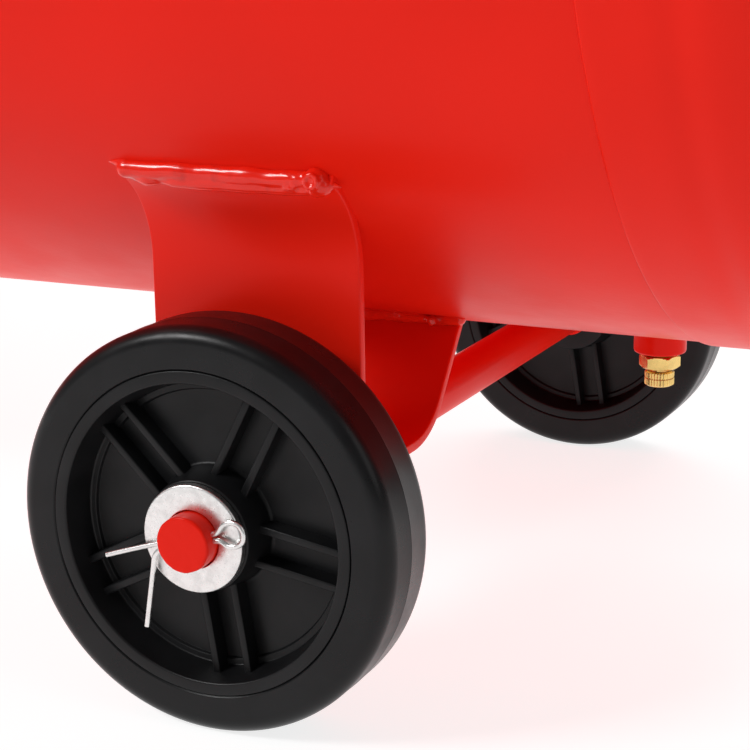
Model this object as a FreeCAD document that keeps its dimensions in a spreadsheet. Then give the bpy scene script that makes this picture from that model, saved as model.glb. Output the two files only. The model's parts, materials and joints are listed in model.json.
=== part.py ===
"""A wheeled, belt driven air compressor on a horizontal tank.

The tank lies along X with its wheels near the +X end and its handle at the -X end.
+Z is up, the wheels and the rubber feet stand on Z = 0, and the origin is the middle of
the footprint. The belt drive is on the +Y side.
"""
import FreeCAD, Part
import math
import os

import Sketcher

V = FreeCAD.Vector
doc = FreeCAD.newDocument("air_compressor")
sheet = doc.addObject("Spreadsheet::Sheet", "dims")

DIMENSIONS = {
    # wheels and axle
    "wheel_radius": 75.0,
    "wheel_width": 34.0,
    "half_track": 210.5,
    "tyre_bore": 59.6,
    "tyre_round": 6.0,
    "recess_radius": 55.0,
    "web_depth": 14.0,
    "rib_depth": 7.0,
    "rib_width": 2.8,
    "rib_spacing": 13.0,
    "wheel_boss_radius": 20.5,
    "axle_radius": 10.3,
    "axle_overhang": 10.6,
    "washer_radius": 19.8,
    "washer_thickness": 3.0,
    "pin_wire": 1.0,
    # tank
    "tank_axis_height": 355.0,
    "tank_radius": 239.0,
    "tank_wall": 4.0,
    "shell_length": 930.0,
    "joggle_length": 28.0,
    "joggle_step": 1.2,
    "crown_radius": 382.0,
    "knuckle_radius": 74.0,
    "seam_from_axle": 140.5,
    "drain_from_axle": 102.0,
    "bung_radius": 11.0,
    "end_bung_radius": 21.0,
    # wheel bracket, a bent steel sheet
    "bracket_width": 85.0,
    "sheet": 4.0,
    "leg_plane": 164.5,
    "flare_start": 109.5,
    "flare_reach": 21.0,
    "flare_rise": 13.6,
    "inner_leg_foot": 104.2,
    "inner_leg_top": 68.1,
    "inner_leg_rise": 45.9,
    "bend_radius": 12.0,
    "saddle_bend_radius": 30.0,
    "flare_radius": 40.0,
    # handle and foot
    "tube_radius": 13.0,
    "grip_radius": 17.0,
    "handle_reach": 715.0,
    "handle_half_width": 190.0,
    "foot_from_centre": 372.0,
    "foot_half_width": 120.0,
    # platform, pump, motor
    "platform_top": 632.0,
    "platform_length": 600.0,
    "platform_half_width": 107.0,
    "plate": 5.0,
    "crank_height": 118.0,
    "pump_offset": -150.0,
    "motor_offset": 195.0,
    "shaft_height": 90.0,
    "belt_plane": 136.0,
    "flywheel_radius": 140.0,
    "pulley_radius": 47.5,
    "belt_width": 13.0,
    "bore_radius": 32.5,
    "barrel_radius": 38.0,
    "fin_radius": 55.0,
    "deck_distance": 78.0,
    "barrel_length": 84.0,
    "valve_plate": 7.0,
    "head_height": 36.0,
    "half_stroke": 24.0,
    "journal_radius": 14.0,
    "motor_radius": 76.0,
    # air fittings on top of the tank
    "control_offset": -418.0,
    "gauge_radius": 26.0,
}


class Size:
    """A length in millimetres together with the sheet expression that it comes from."""

    def __init__(self, number, words=None):
        self.number = float(number)
        self.words = words or "(%s)" % repr(float(number))

    def __add__(self, other):
        return join(self, other, "+", lambda a, b: a + b)

    def __sub__(self, other):
        return join(self, other, "-", lambda a, b: a - b)

    def __mul__(self, other):
        return join(self, other, "*", lambda a, b: a * b)

    def __truediv__(self, other):
        return join(self, other, "/", lambda a, b: a / b)

    def __radd__(self, other):
        return size(other) + self

    def __rsub__(self, other):
        return size(other) - self

    def __rmul__(self, other):
        return size(other) * self

    def __neg__(self):
        return Size(-self.number, "(-%s)" % self.words)


def size(value):
    """A plain number as a Size; a Size stays as it is."""
    return value if isinstance(value, Size) else Size(value)


def join(left, right, sign, work):
    """One arithmetic step, done on the numbers and written in the expression."""
    left, right = size(left), size(right)
    words = "(%s %s %s)" % (left.words, sign, right.words)
    return Size(work(left.number, right.number), words)


def root(value):
    """Square root of a Size."""
    return Size(math.sqrt(value.number), "sqrt(%s)" % value.words)


def fill_sheet():
    """Write each driving dimension into the sheet and give its cell an alias."""
    for row, (alias, value) in enumerate(DIMENSIONS.items(), start=1):
        sheet.set("A%d" % row, alias)
        sheet.set("B%d" % row, str(value))
        sheet.setAlias("B%d" % row, alias)
    doc.recompute()


def dim(alias):
    """A driving dimension read back from the sheet."""
    return Size(float(sheet.get(alias)), "dims.%s" % alias)


def bind(item, name, value):
    """Tie one property to its expression."""
    item.setExpression(name, size(value).words)


def place(item, at=(0, 0, 0), rotation=None):
    """Put an object at three Sizes, with an optional turn."""
    at = [size(a) for a in at]
    turn = rotation or FreeCAD.Rotation()
    item.Placement = FreeCAD.Placement(V(*[a.number for a in at]), turn)
    for axis, value in zip("xyz", at):
        if value.words != "(0.0)":
            bind(item, "Placement.Base.%s" % axis, value)
    return item


def towards(direction):
    """The turn that points local +Z along a direction."""
    return FreeCAD.Rotation(V(0, 0, 1), V(*direction))


def turn_about(axis, degrees):
    """A turn about an axis through the object's own origin."""
    return FreeCAD.Rotation(V(*axis), degrees)


X, Y, Z = (1, 0, 0), (0, 1, 0), (0, 0, 1)


# ---------------------------------------------------------------- Part primitives

def cylinder(name, radius, length, at=(0, 0, 0), along=Z):
    item = doc.addObject("Part::Cylinder", name)
    bind(item, "Radius", radius)
    bind(item, "Height", length)
    return place(item, at, towards(along))


def box(name, lengths, at=(0, 0, 0)):
    """A box whose middle in X and Y, and whose lowest Z, is at the given place."""
    item = doc.addObject("Part::Box", name)
    for prop, value in zip(("Length", "Width", "Height"), lengths):
        bind(item, prop, value)
    corner = (size(at[0]) - size(lengths[0]) / 2, size(at[1]) - size(lengths[1]) / 2, at[2])
    return place(item, corner)


def hexagon(name, across_flats, length, at=(0, 0, 0), along=Z, spin=0):
    item = doc.addObject("Part::Prism", name)
    item.Polygon = 6
    bind(item, "Circumradius", size(across_flats) / math.sqrt(3))
    bind(item, "Height", length)
    return place(item, at, towards(along) * turn_about(Z, spin))


def ring(name, ring_radius, wire_radius, at=(0, 0, 0), along=Z):
    item = doc.addObject("Part::Torus", name)
    bind(item, "Radius1", ring_radius)
    bind(item, "Radius2", wire_radius)
    return place(item, at, towards(along))


def cut(name, base, *tools):
    """The base with every tool taken away."""
    tool = tools[0] if len(tools) == 1 else fuse(name + "_tools", *tools)
    item = doc.addObject("Part::Cut", name)
    item.Base, item.Tool = base, tool
    return item


def fuse(name, *shapes):
    item = doc.addObject("Part::MultiFuse", name)
    item.Shapes = list(shapes)
    item.Refine = True
    return item


def group(name, *shapes):
    """Several separate solids as one node."""
    item = doc.addObject("Part::Compound", name)
    item.Links = list(shapes)
    return item


def mirrored(name, source, normal=Y):
    """The source reflected through a plane at the origin."""
    item = doc.addObject("Part::Mirroring", name)
    item.Source = source
    item.Base, item.Normal = V(0, 0, 0), V(*normal)
    return item


def rounded(name, base, radius, test):
    """A Part fillet on the edges that a test picks."""
    doc.recompute()
    item = doc.addObject("Part::Fillet", name)
    item.Base = base
    edges = [(i, radius, radius) for i, e in enumerate(base.Shape.Edges, start=1) if test(e)]
    item.Edges = edges
    return item


def bent_tube(name, points, tube_radius, bend_radius, wall=None):
    """A round tube along straight runs joined by tangent arcs, with sizes from the sheet."""
    item = doc.addObject("Part::Feature", name)
    route = [V(*[size(c).number for c in p]) for p in points]
    bend = size(bend_radius).number
    edges, start = [], route[0]
    for before, corner, after in zip(route, route[1:], route[2:]):
        into, out = (corner - before).normalize(), (after - corner).normalize()
        half_turn = into.getAngle(out) / 2
        reach = bend * math.tan(half_turn)
        first, last = corner - into * reach, corner + out * reach
        inward = (out - into).normalize()
        middle = corner + inward * (bend / math.cos(half_turn) - bend)
        edges += [Part.LineSegment(start, first).toShape(), Part.Arc(first, middle, last).toShape()]
        start = last
    edges.append(Part.LineSegment(start, route[-1]).toShape())
    path = Part.Wire(edges)
    heading = (route[1] - route[0]).normalize()

    def sweep(radius):
        profile = Part.Wire([Part.makeCircle(radius, route[0], heading)])
        return path.makePipeShell([profile], True, False)

    shape = sweep(size(tube_radius).number)
    if wall is not None:
        shape = shape.cut(sweep((size(tube_radius) - wall).number))
    item.Shape = shape
    return item


# ---------------------------------------------------------------- PartDesign bodies

def body(label):
    item = doc.addObject("PartDesign::Body", label)
    item.Label = label
    return item


def plane_of(item, role):
    return [f for f in item.Origin.OriginFeatures if f.Role == role][0]


def bent_side(start, end, radius):
    """The arc, under half a turn, from start to end; a positive radius turns to the left."""
    chord = end - start
    half = chord.Length / 2
    rise = math.sqrt(max(radius * radius - half * half, 0.0))
    left = V(-chord.y, chord.x, 0).normalize()
    centre = start + chord * 0.5 + left * math.copysign(rise, radius)
    first, last = (start, end) if radius > 0 else (end, start)
    low, high = [math.atan2(p.y - centre.y, p.x - centre.x) for p in (first, last)]
    if high < low:
        high += 2 * math.pi
    return Part.ArcOfCircle(Part.Circle(centre, V(0, 0, 1), abs(radius)), low, high)


def outline(item, name, role, corners, lift=0):
    """A closed sketch through corners (x, y) or (x, y, radius of the arc that leaves it)."""
    sketch = item.newObject("Sketcher::SketchObject", name)
    sketch.AttachmentSupport = [(plane_of(item, role), "")]
    sketch.MapMode = "FlatFace"
    if size(lift).number:
        bind(sketch, "AttachmentOffset.Base.z", lift)
    points = [V(size(c[0]).number, size(c[1]).number, 0) for c in corners]
    count = len(corners)
    for i, corner in enumerate(corners):
        start, end = points[i], points[(i + 1) % count]
        if len(corner) == 3:
            sketch.addGeometry(bent_side(start, end, size(corner[2]).number), False)
        else:
            sketch.addGeometry(Part.LineSegment(start, end), False)
    starts = [first_end(sketch.Geometry[i], points[i]) for i in range(count)]
    for i in range(count):
        following = (i + 1) % count
        sketch.addConstraint(
            Sketcher.Constraint("Coincident", i, 3 - starts[i], following, starts[following]))
    for i, corner in enumerate(corners):
        hold(sketch, "DistanceX", i, starts[i], corner[0])
        hold(sketch, "DistanceY", i, starts[i], corner[1])
        if len(corner) == 3:
            value = size(corner[2])
            positive = value if value.number > 0 else -value
            index = sketch.addConstraint(Sketcher.Constraint("Radius", i, positive.number))
            bind(sketch, "Constraints[%d]" % index, positive)
    return sketch


def first_end(curve, point):
    """1 or 2: which end of a sketch curve lies at the point where its side starts."""
    return 1 if (curve.StartPoint - point).Length < (curve.EndPoint - point).Length else 2


def hold(sketch, kind, curve, end, value):
    """Fix one end of a curve at a distance from the sketch's origin."""
    value = size(value)
    index = sketch.addConstraint(Sketcher.Constraint(kind, -1, 1, curve, end, value.number))
    if value.words != "(0.0)":
        bind(sketch, "Constraints[%d]" % index, value)


def disc(item, name, role, radius, centre=(0, 0), lift=0):
    """A sketch that holds one circle."""
    sketch = item.newObject("Sketcher::SketchObject", name)
    sketch.AttachmentSupport = [(plane_of(item, role), "")]
    sketch.MapMode = "FlatFace"
    if size(lift).number:
        bind(sketch, "AttachmentOffset.Base.z", lift)
    middle = V(size(centre[0]).number, size(centre[1]).number, 0)
    sketch.addGeometry(Part.Circle(middle, V(0, 0, 1), size(radius).number), False)
    hold(sketch, "DistanceX", 0, 3, centre[0])
    hold(sketch, "DistanceY", 0, 3, centre[1])
    index = sketch.addConstraint(Sketcher.Constraint("Radius", 0, size(radius).number))
    bind(sketch, "Constraints[%d]" % index, radius)
    return sketch


def pad(item, sketch, length, both_ways=False, back=False):
    feature = item.newObject("PartDesign::Pad", sketch.Name + "_pad")
    feature.Profile = sketch
    bind(feature, "Length", length)
    feature.Midplane = both_ways
    feature.Reversed = back
    return feature


def pocket(item, sketch, length, both_ways=False, back=False):
    """Cut a sketch out and make sure that something was removed."""
    doc.recompute()
    before = item.Shape.Volume
    feature = item.newObject("PartDesign::Pocket", sketch.Name + "_pocket")
    feature.Profile = sketch
    bind(feature, "Length", length)
    feature.Midplane = both_ways
    feature.Reversed = back
    doc.recompute()
    if item.Shape.Volume > before - 1e-3:
        raise RuntimeError("%s cuts nothing" % feature.Name)
    return feature


def revolve(item, sketch, axis_role):
    feature = item.newObject("PartDesign::Revolution", sketch.Name + "_turned")
    feature.Profile = sketch
    feature.ReferenceAxis = (plane_of(item, axis_role), [""])
    feature.Angle = 360.0
    return feature


def repeat_round(item, features, axis_role, count):
    """A polar pattern, which becomes the body's tip."""
    pattern = item.newObject("PartDesign::PolarPattern", features[0].Name + "_round")
    pattern.Originals = features
    pattern.Axis = (plane_of(item, axis_role), [""])
    pattern.Angle = 360.0
    pattern.Occurrences = count
    item.Tip = pattern
    return pattern


def soften(item, radius, test):
    """A fillet on the edges of the body that a test picks."""
    doc.recompute()
    names = ["Edge%d" % i for i, e in enumerate(item.Shape.Edges, start=1) if test(e)]
    if not names:
        raise RuntimeError("%s has no edge to round" % item.Label)
    rounded_feature = item.Tip
    feature = item.newObject("PartDesign::Fillet", item.Name + "_round")
    feature.Base = (rounded_feature, names)
    bind(feature, "Radius", radius)
    doc.recompute()
    return feature


def edge_along(direction, *near):
    """A test: a straight edge along a direction that passes one of the given points."""
    heading = V(*direction)

    def test(edge):
        if edge.Curve.TypeId != "Part::GeomLine":
            return False
        if edge.Curve.Direction.cross(heading).Length > 1e-6:
            return False
        middle = edge.CenterOfMass
        flat = middle - heading * middle.dot(heading)
        return any((flat - V(*p)).Length < 0.05 for p in near)
    return test


# ---------------------------------------------------------------- shared places

fill_sheet()

AXLE_Z = dim("wheel_radius")
TANK_Z = dim("tank_axis_height")
TANK_R = dim("tank_radius")
BAND_R = TANK_R + dim("joggle_step")
HALF_SHELL = dim("shell_length") / 2
KNUCKLE_GAP = BAND_R - dim("knuckle_radius")
CENTRES_GAP = dim("crown_radius") - dim("knuckle_radius")
CROWN_X = dim("joggle_length") - root(CENTRES_GAP * CENTRES_GAP - KNUCKLE_GAP * KNUCKLE_GAP)
HEAD_DEPTH = CROWN_X + dim("crown_radius")
APEX = HALF_SHELL + HEAD_DEPTH
END_BUNG = 10.0
PLUG_HEX = 12.0
TANK_X = (dim("handle_reach") - APEX - END_BUNG - PLUG_HEX) / 2
AXLE_X = TANK_X + HALF_SHELL - dim("seam_from_axle")
DRAIN_X = AXLE_X + dim("drain_from_axle")
TANK_TOP = TANK_Z + TANK_R
TANK_BOTTOM = TANK_Z - TANK_R
PLATFORM_Z = dim("platform_top")
PUMP_X = TANK_X + dim("pump_offset")
CRANK_Z = PLATFORM_Z + dim("crank_height")
MOTOR_X = TANK_X + dim("motor_offset")
MOTOR_Z = PLATFORM_Z + dim("shaft_height")
BELT_Y = dim("belt_plane")
CONTROL_X = TANK_X + dim("control_offset")
BANK_STEP = 8.0
CHECK_X = PUMP_X - 190
BUNG_DROP = 13.0
HANDLE_Z = TANK_Z + root(
    (BAND_R + dim("tube_radius")) * (BAND_R + dim("tube_radius"))
    - dim("handle_half_width") * dim("handle_half_width"))
HANDLE_RISE = 120.0
PITCH_DROP = 5.0
BELT_SLOPE = 0.364
FLYWHEEL_PITCH = dim("flywheel_radius") - PITCH_DROP
PULLEY_PITCH = dim("pulley_radius") - PITCH_DROP

nodes = {}


def node(item, label=None):
    """Keep an object as one of the model's own pieces."""
    item.Label = label or item.Label
    nodes[item.Label] = item
    return item


def tank_blank(name):
    """The space that the tank's shell fills, used to trim what is welded to it."""
    return cylinder(name, TANK_R, dim("shell_length"), (TANK_X - HALF_SHELL, 0, TANK_Z), X)


# ---------------------------------------------------------------- tank

def tank_shell():
    barrel = body("rolled_barrel")
    inside = TANK_R - dim("tank_wall")
    ring_section = outline(barrel, "shell_section", "XZ_Plane", [
        (-HALF_SHELL, inside), (HALF_SHELL, inside), (HALF_SHELL, TANK_R), (-HALF_SHELL, TANK_R)])
    revolve(barrel, ring_section, "X_Axis")
    place(barrel, (TANK_X, 0, TANK_Z))
    drain = cylinder("drain_passage", 6, 30, (DRAIN_X, 0, TANK_BOTTOM - 10))
    inlet = cylinder("inlet_passage", 8.4, 30, (CHECK_X, -BANK_STEP, TANK_TOP - 20))
    outlet = cylinder("outlet_passage", 8.4, 30, (CONTROL_X, 0, TANK_TOP - 20))
    return node(cut("tank_shell", barrel, drain, inlet, outlet))


def dished_head(label, at, turn):
    """A torispherical end whose short skirt is joggled over the shell."""
    head = body(label)
    wall = dim("tank_wall")
    crown, knuckle = dim("crown_radius"), dim("knuckle_radius")
    skirt = dim("joggle_length")

    def tangent_point(thinner):
        stretch = (crown - thinner) / CENTRES_GAP
        return CROWN_X + (skirt - CROWN_X) * stretch, KNUCKLE_GAP * stretch

    out_x, out_r = tangent_point(size(0))
    in_x, in_r = tangent_point(wall)
    section = outline(head, label + "_section", "XZ_Plane", [
        (0, BAND_R), (skirt, BAND_R, -knuckle), (out_x, out_r, -crown), (HEAD_DEPTH, 0),
        (HEAD_DEPTH - wall, 0, crown - wall), (in_x, in_r, knuckle - wall),
        (skirt, BAND_R - wall), (0, BAND_R - wall)])
    revolve(head, section, "X_Axis")
    place(head, at, turn)
    opening = cylinder(label + "_opening", 16.6, 40, (at[0], 0, TANK_Z), turn.multVec(V(*X)))
    bind(opening, "Height", HEAD_DEPTH + 20)
    trimmed = cut(label + "_with_opening", head, opening)
    head.Label = label + "_blank"
    return node(trimmed, label)


def tank_bosses(heads):
    """Threaded bosses: drain, air inlet, air outlet and one in each dished end."""
    tank_tools = [tank_blank("boss_trim_%d" % i) for i in range(3)]
    drain = cut("drain_bung", cylinder("drain_bung_bar", dim("bung_radius"), BUNG_DROP + 5,
                                       (DRAIN_X, 0, TANK_BOTTOM - BUNG_DROP)),
                tank_tools[0],
                cylinder("drain_thread", 6.6, 60, (DRAIN_X, 0, TANK_BOTTOM - 30)))
    bosses = [drain]
    for name, x, y, tool in (("inlet_boss", CHECK_X, -BANK_STEP, tank_tools[1]),
                             ("outlet_boss", CONTROL_X, 0, tank_tools[2])):
        bar = cylinder(name + "_bar", 17, 14, (x, y, TANK_TOP - 6))
        bore = cylinder(name + "_bore", 8.3, 60, (x, y, TANK_TOP - 30))
        bosses.append(cut(name, bar, tool, bore))
    for side, head in zip((1, -1), heads):
        name = "end_boss_%s" % ("wheel" if side > 0 else "handle")
        start = TANK_X + (APEX - 2.5) * side
        bar = cylinder(name + "_bar", dim("end_bung_radius"), END_BUNG + 2.5, (start, 0, TANK_Z),
                       (side, 0, 0))
        bore = cylinder(name + "_bore", 16.6, 60, (start - 20 * side, 0, TANK_Z), (side, 0, 0))
        bosses.append(cut(name, bar, head, bore))
    return node(group("tank_bosses", *bosses))


def inspection_plugs():
    plugs = []
    for side in (1, -1):
        name = "plug_%s" % ("wheel" if side > 0 else "handle")
        face = TANK_X + (APEX + END_BUNG) * side
        thread = cylinder(name + "_thread", 16.5, 14, (face - 14 * side, 0, TANK_Z), (side, 0, 0))
        cap = hexagon(name + "_hex", 36, PLUG_HEX, (face, 0, TANK_Z), (side, 0, 0))
        plugs.append(fuse(name, thread, cap))
    return node(group("inspection_plugs", *plugs))


# ---------------------------------------------------------------- wheels and axle

def tyre(label, side):
    item = body(label)
    radius, width, soft = dim("wheel_radius"), dim("wheel_width"), dim("tyre_round")
    bore = dim("tyre_bore")
    section = outline(item, label + "_section", "XY_Plane", [
        (bore, 0), (radius - soft, 0, soft), (radius, soft), (radius, width - soft, soft),
        (radius - soft, width), (bore, width)])
    revolve(item, section, "Y_Axis")
    place(item, (AXLE_X, -dim("half_track") * side, AXLE_Z), turn_about(Z, 90 - 90 * side))
    return node(item)


def wheel_hub(label, side):
    """A moulded wheel centre: rim ring, thin web, boss and five pairs of ribs."""
    item = body(label)
    width, depth = dim("wheel_width"), dim("web_depth")
    rim, boss = dim("recess_radius"), dim("wheel_boss_radius")
    draft, boss_draft, proud = 2.5, 2.0, 0.25
    bore = dim("axle_radius") + 0.08
    section = outline(item, label + "_section", "XY_Plane", [
        (bore, -proud), (boss, -proud), (boss + boss_draft, depth), (rim - draft, depth), (rim, 0),
        (dim("tyre_bore"), 0), (dim("tyre_bore"), width), (rim, width),
        (rim - draft, width - depth), (boss + boss_draft, width - depth),
        (boss, width + 3), (bore, width + 3)])
    revolve(item, section, "Y_Axis")
    ribs = []
    half, gap = dim("rib_width") / 2, dim("rib_spacing") / 2
    for name, middle in (("upper_rib", gap), ("lower_rib", -gap)):
        rib = outline(item, "%s_%s" % (label, name), "XZ_Plane", [
            (boss - 3, middle - half), (rim - 1, middle - half),
            (rim - 1, middle + half), (boss - 3, middle + half)], lift=-dim("rib_depth"))
        ribs.append(pad(item, rib, width - dim("rib_depth") * 2, back=True))
    repeat_round(item, ribs, "Y_Axis", 5)
    turn = turn_about(Z, 90 - 90 * side) * turn_about(Y, 9 * side)
    place(item, (AXLE_X, -dim("half_track") * side, AXLE_Z), turn)
    return node(item)


PIN_TILT = -15.4
PIN_FROM_FACE = 5.6


def axle_bar():
    """One round bar through both wheels, with a collar inside each wheel and pin holes."""
    reach = dim("half_track") + dim("axle_overhang")
    bar = cylinder("axle_blank", dim("axle_radius"), reach * 2, (AXLE_X, -reach, AXLE_Z), Y)
    wide, collar_gap = 4.0, 3.4
    collar_face = dim("half_track") - dim("wheel_width") - collar_gap
    solids, holes = [bar], []
    for side in (1, -1):
        solids.append(cylinder("axle_collar_%d" % (side + 1), dim("axle_radius") + 1.8, wide,
                               (AXLE_X, -collar_face * side, AXLE_Z), (0, side, 0)))
        tilt = turn_about(Z, 90 - 90 * side).multVec(turn_about(Y, PIN_TILT).multVec(V(*X)))
        start = V(AXLE_X.number, 0, AXLE_Z.number) - tilt * 20
        hole = doc.addObject("Part::Cylinder", "pin_hole_%d" % (side + 1))
        bind(hole, "Radius", dim("pin_wire") * 2 + 0.3)
        bind(hole, "Height", 40)
        hole.Placement = FreeCAD.Placement(start, FreeCAD.Rotation(V(*Z), tilt))
        bind(hole, "Placement.Base.y", -(dim("half_track") + PIN_FROM_FACE) * side)
        holes.append(hole)
    return node(cut("axle_bar", fuse("axle_with_collars", *solids), *holes))


def axle_washers():
    """A plain washer outside each wheel."""
    washers = []
    thick, gap = dim("washer_thickness"), 0.45
    face = dim("half_track") + gap + thick
    for side in (1, -1):
        label = "outer_washer_%d" % (side + 1)
        disc_blank = cylinder(label + "_disc", dim("washer_radius"), thick,
                              (AXLE_X, -face * side, AXLE_Z), (0, side, 0))
        bore = cylinder(label + "_bore", dim("axle_radius") + 0.3, thick * 3,
                        (AXLE_X, -(face + thick) * side, AXLE_Z), (0, side, 0))
        washers.append(cut(label, disc_blank, bore))
    return node(group("axle_washers", *washers))


def split_pins():
    """Two split pins, each one wire folded to an eye, with its legs spread."""
    wire = dim("pin_wire")
    apart = wire * 1.05
    route = [(-36.5, 0, apart + 0.2), (-12, 0, apart), (10.5, 0, apart), (14.2, 0, 4.4),
             (20.8, 0, 0), (14.2, 0, -4.4), (10.5, 0, -apart), (-15, 0, -apart), (-27, 0, -28)]
    pins = []
    for side in (1, -1):
        pin = bent_tube("split_pin_%d" % (side + 1), route, wire, 2.2)
        turn = turn_about(Z, 90 - 90 * side) * turn_about(Y, PIN_TILT)
        pins.append(place(pin, (AXLE_X, -(dim("half_track") + PIN_FROM_FACE) * side, AXLE_Z), turn))
    return node(group("split_pins", *pins))


# ---------------------------------------------------------------- wheel brackets and welds

def wheel_bracket():
    """One bent sheet: a flared outer leg, a flat seat on the axle and a slanting inner leg."""
    item = body("near_wheel_bracket")
    sheet_size, seat = dim("sheet"), dim("axle_radius")
    leg, foot = dim("leg_plane"), dim("inner_leg_foot")
    run, rise = foot - dim("inner_leg_top"), dim("inner_leg_rise")
    slope = root(run * run + rise * rise)
    reach, lift = dim("flare_reach"), dim("flare_rise")
    flare = root(reach * reach + lift * lift)
    inner_top = (-dim("inner_leg_top") - sheet_size * rise / slope,
                 seat + rise + sheet_size * run / slope)
    inner_foot = (inner_top[0] - (inner_top[1] - seat - sheet_size) * run / rise,
                  seat + sheet_size)
    bend_z = (dim("flare_start") + sheet_size * reach / flare
              - (sheet_size - sheet_size * lift / flare) * lift / reach)
    corners = [
        (-dim("inner_leg_top"), seat + rise), (-foot, seat), (-leg, seat),
        (-leg, dim("flare_start")), (-leg - reach, dim("flare_start") + lift),
        (-leg - reach + sheet_size * lift / flare,
         dim("flare_start") + lift + sheet_size * reach / flare),
        (-leg + sheet_size, bend_z), (-leg + sheet_size, seat + sheet_size), inner_foot, inner_top]
    section = outline(item, "bracket_section", "YZ_Plane", corners)
    pad(item, section, dim("bracket_width"), both_ways=True)
    bends = (
        (1, dim("saddle_bend_radius") + sheet_size), (8, dim("saddle_bend_radius")),
        (2, dim("bend_radius") + sheet_size), (7, dim("bend_radius")),
        (3, dim("flare_radius")), (6, dim("flare_radius") + sheet_size))
    for index, radius in bends:
        y, z = corners[index]
        soften(item, radius, edge_along(X, (0, size(y).number, size(z).number)))
    tank_circle = disc(item, "tank_circle", "YZ_Plane", TANK_R, (0, TANK_Z - AXLE_Z))
    pocket(item, tank_circle, dim("bracket_width") + 20, both_ways=True)
    return place(item, (AXLE_X, 0, AXLE_Z))


def weld_beads(bracket, foot, handle):
    """Painted beads along the bracket, foot and handle joints, on both sides."""
    beads = []
    half = dim("bracket_width") / 2
    runs = (("flank_bead", 184.2, 127.0, 3.6), ("belly_bead", 75.0, 50.5, 3.4))
    for name, y, above_axle, radius in runs:
        start = (AXLE_X - half, -size(y), AXLE_Z + above_axle)
        bar = cylinder(name + "_bar", radius, half * 2, start, X)
        near = cut(name, bar, tank_blank(name + "_trim"), bracket)
        beads += [near, mirrored(name + "_far", near)]
    foot_start = (TANK_X - dim("foot_from_centre") - 40, -95.5, 137)
    foot_run = cylinder("foot_bead_bar", 4, 80, foot_start, X)
    foot_bead = cut("foot_bead", foot_run, tank_blank("foot_bead_trim"), foot)
    beads += [foot_bead, mirrored("foot_bead_far", foot_bead)]
    handle_run = cylinder("handle_bead_bar", 4, 90,
                          (TANK_X - HALF_SHELL + 20, -dim("handle_half_width") + 14,
                           HANDLE_Z - 3), X)
    handle_bead = cut("handle_bead", handle_run, tank_blank("handle_bead_trim"), handle)
    beads += [handle_bead, mirrored("handle_bead_far", handle_bead)]
    return node(group("weld_beads", *beads))


# ---------------------------------------------------------------- drain valve

HEX_TOP = BUNG_DROP + 1.2
HEX_HEIGHT = 5.6


def drain_valve():
    """A brass body screwed into the drain bung, and the knurled knob that opens it."""
    thread = cylinder("drain_valve_thread", 6.4, 12, (DRAIN_X, 0, TANK_BOTTOM - HEX_TOP))
    nut = hexagon("drain_valve_hex", 15, HEX_HEIGHT,
                  (DRAIN_X, 0, TANK_BOTTOM - HEX_TOP - HEX_HEIGHT), spin=12)
    neck = cylinder("drain_valve_neck", 4.4, 1.3, (DRAIN_X, 0, TANK_BOTTOM - HEX_TOP - 6.9))
    bore = cylinder("drain_valve_bore", 2.5, 40, (DRAIN_X, 0, TANK_BOTTOM - 30))
    stock = fuse("drain_valve_stock", thread, nut, neck)
    node(cut("drain_valve_body", stock, bore))
    knob_top = TANK_BOTTOM - HEX_TOP - 7.0
    grip = cylinder("drain_knob_grip", 6.2, 6.2, (DRAIN_X, 0, knob_top - 6.2))
    stem = cylinder("drain_knob_stem", 2.45, 12, (DRAIN_X, 0, knob_top - 1))
    outlet = cylinder("drain_knob_outlet", 1.2, 30, (DRAIN_X, 0, knob_top - 8))
    node(cut("drain_valve_knob", fuse("drain_knob_stock", grip, stem), outlet))


# ---------------------------------------------------------------- foot and handle

def foot_bracket():
    """A bent strap under the handle end of the tank, with its legs welded to the shell."""
    item = body("foot_strap")
    half, low, thick = dim("foot_half_width"), size(28), dim("plate")
    top_half, top_z = half - 27, size(150)
    side = 5.5
    section = outline(item, "foot_section", "YZ_Plane", [
        (-top_half, top_z), (-half, low), (half, low), (top_half, top_z), (top_half - side, top_z),
        (half - side, low + thick), (-half + side, low + thick), (-top_half + side, top_z)])
    pad(item, section, 80, both_ways=True)
    soften(item, 10, edge_along(X, (0, half.number, low.number), (0, -half.number, low.number)))
    place(item, (TANK_X - dim("foot_from_centre"), 0, 0))
    holes = [cylinder("foot_hole_%d" % i, 4.3, 20, (TANK_X - dim("foot_from_centre"), y, 20))
             for i, y in enumerate((-82, 82))]
    return node(cut("foot_bracket", item, tank_blank("foot_trim"), *holes))


def rubber_feet():
    feet = []
    for name, y in (("near_foot", -82), ("far_foot", 82)):
        item = body(name)
        section = outline(item, name + "_section", "XZ_Plane", [
            (4.2, 14), (4.2, 28), (22, 28), (25, 3, -3), (22, 0), (11, 0), (11, 14)])
        revolve(item, section, "Z_Axis")
        feet.append(place(item, (TANK_X - dim("foot_from_centre"), y, 0)))
    return node(group("rubber_feet", *feet))


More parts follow.
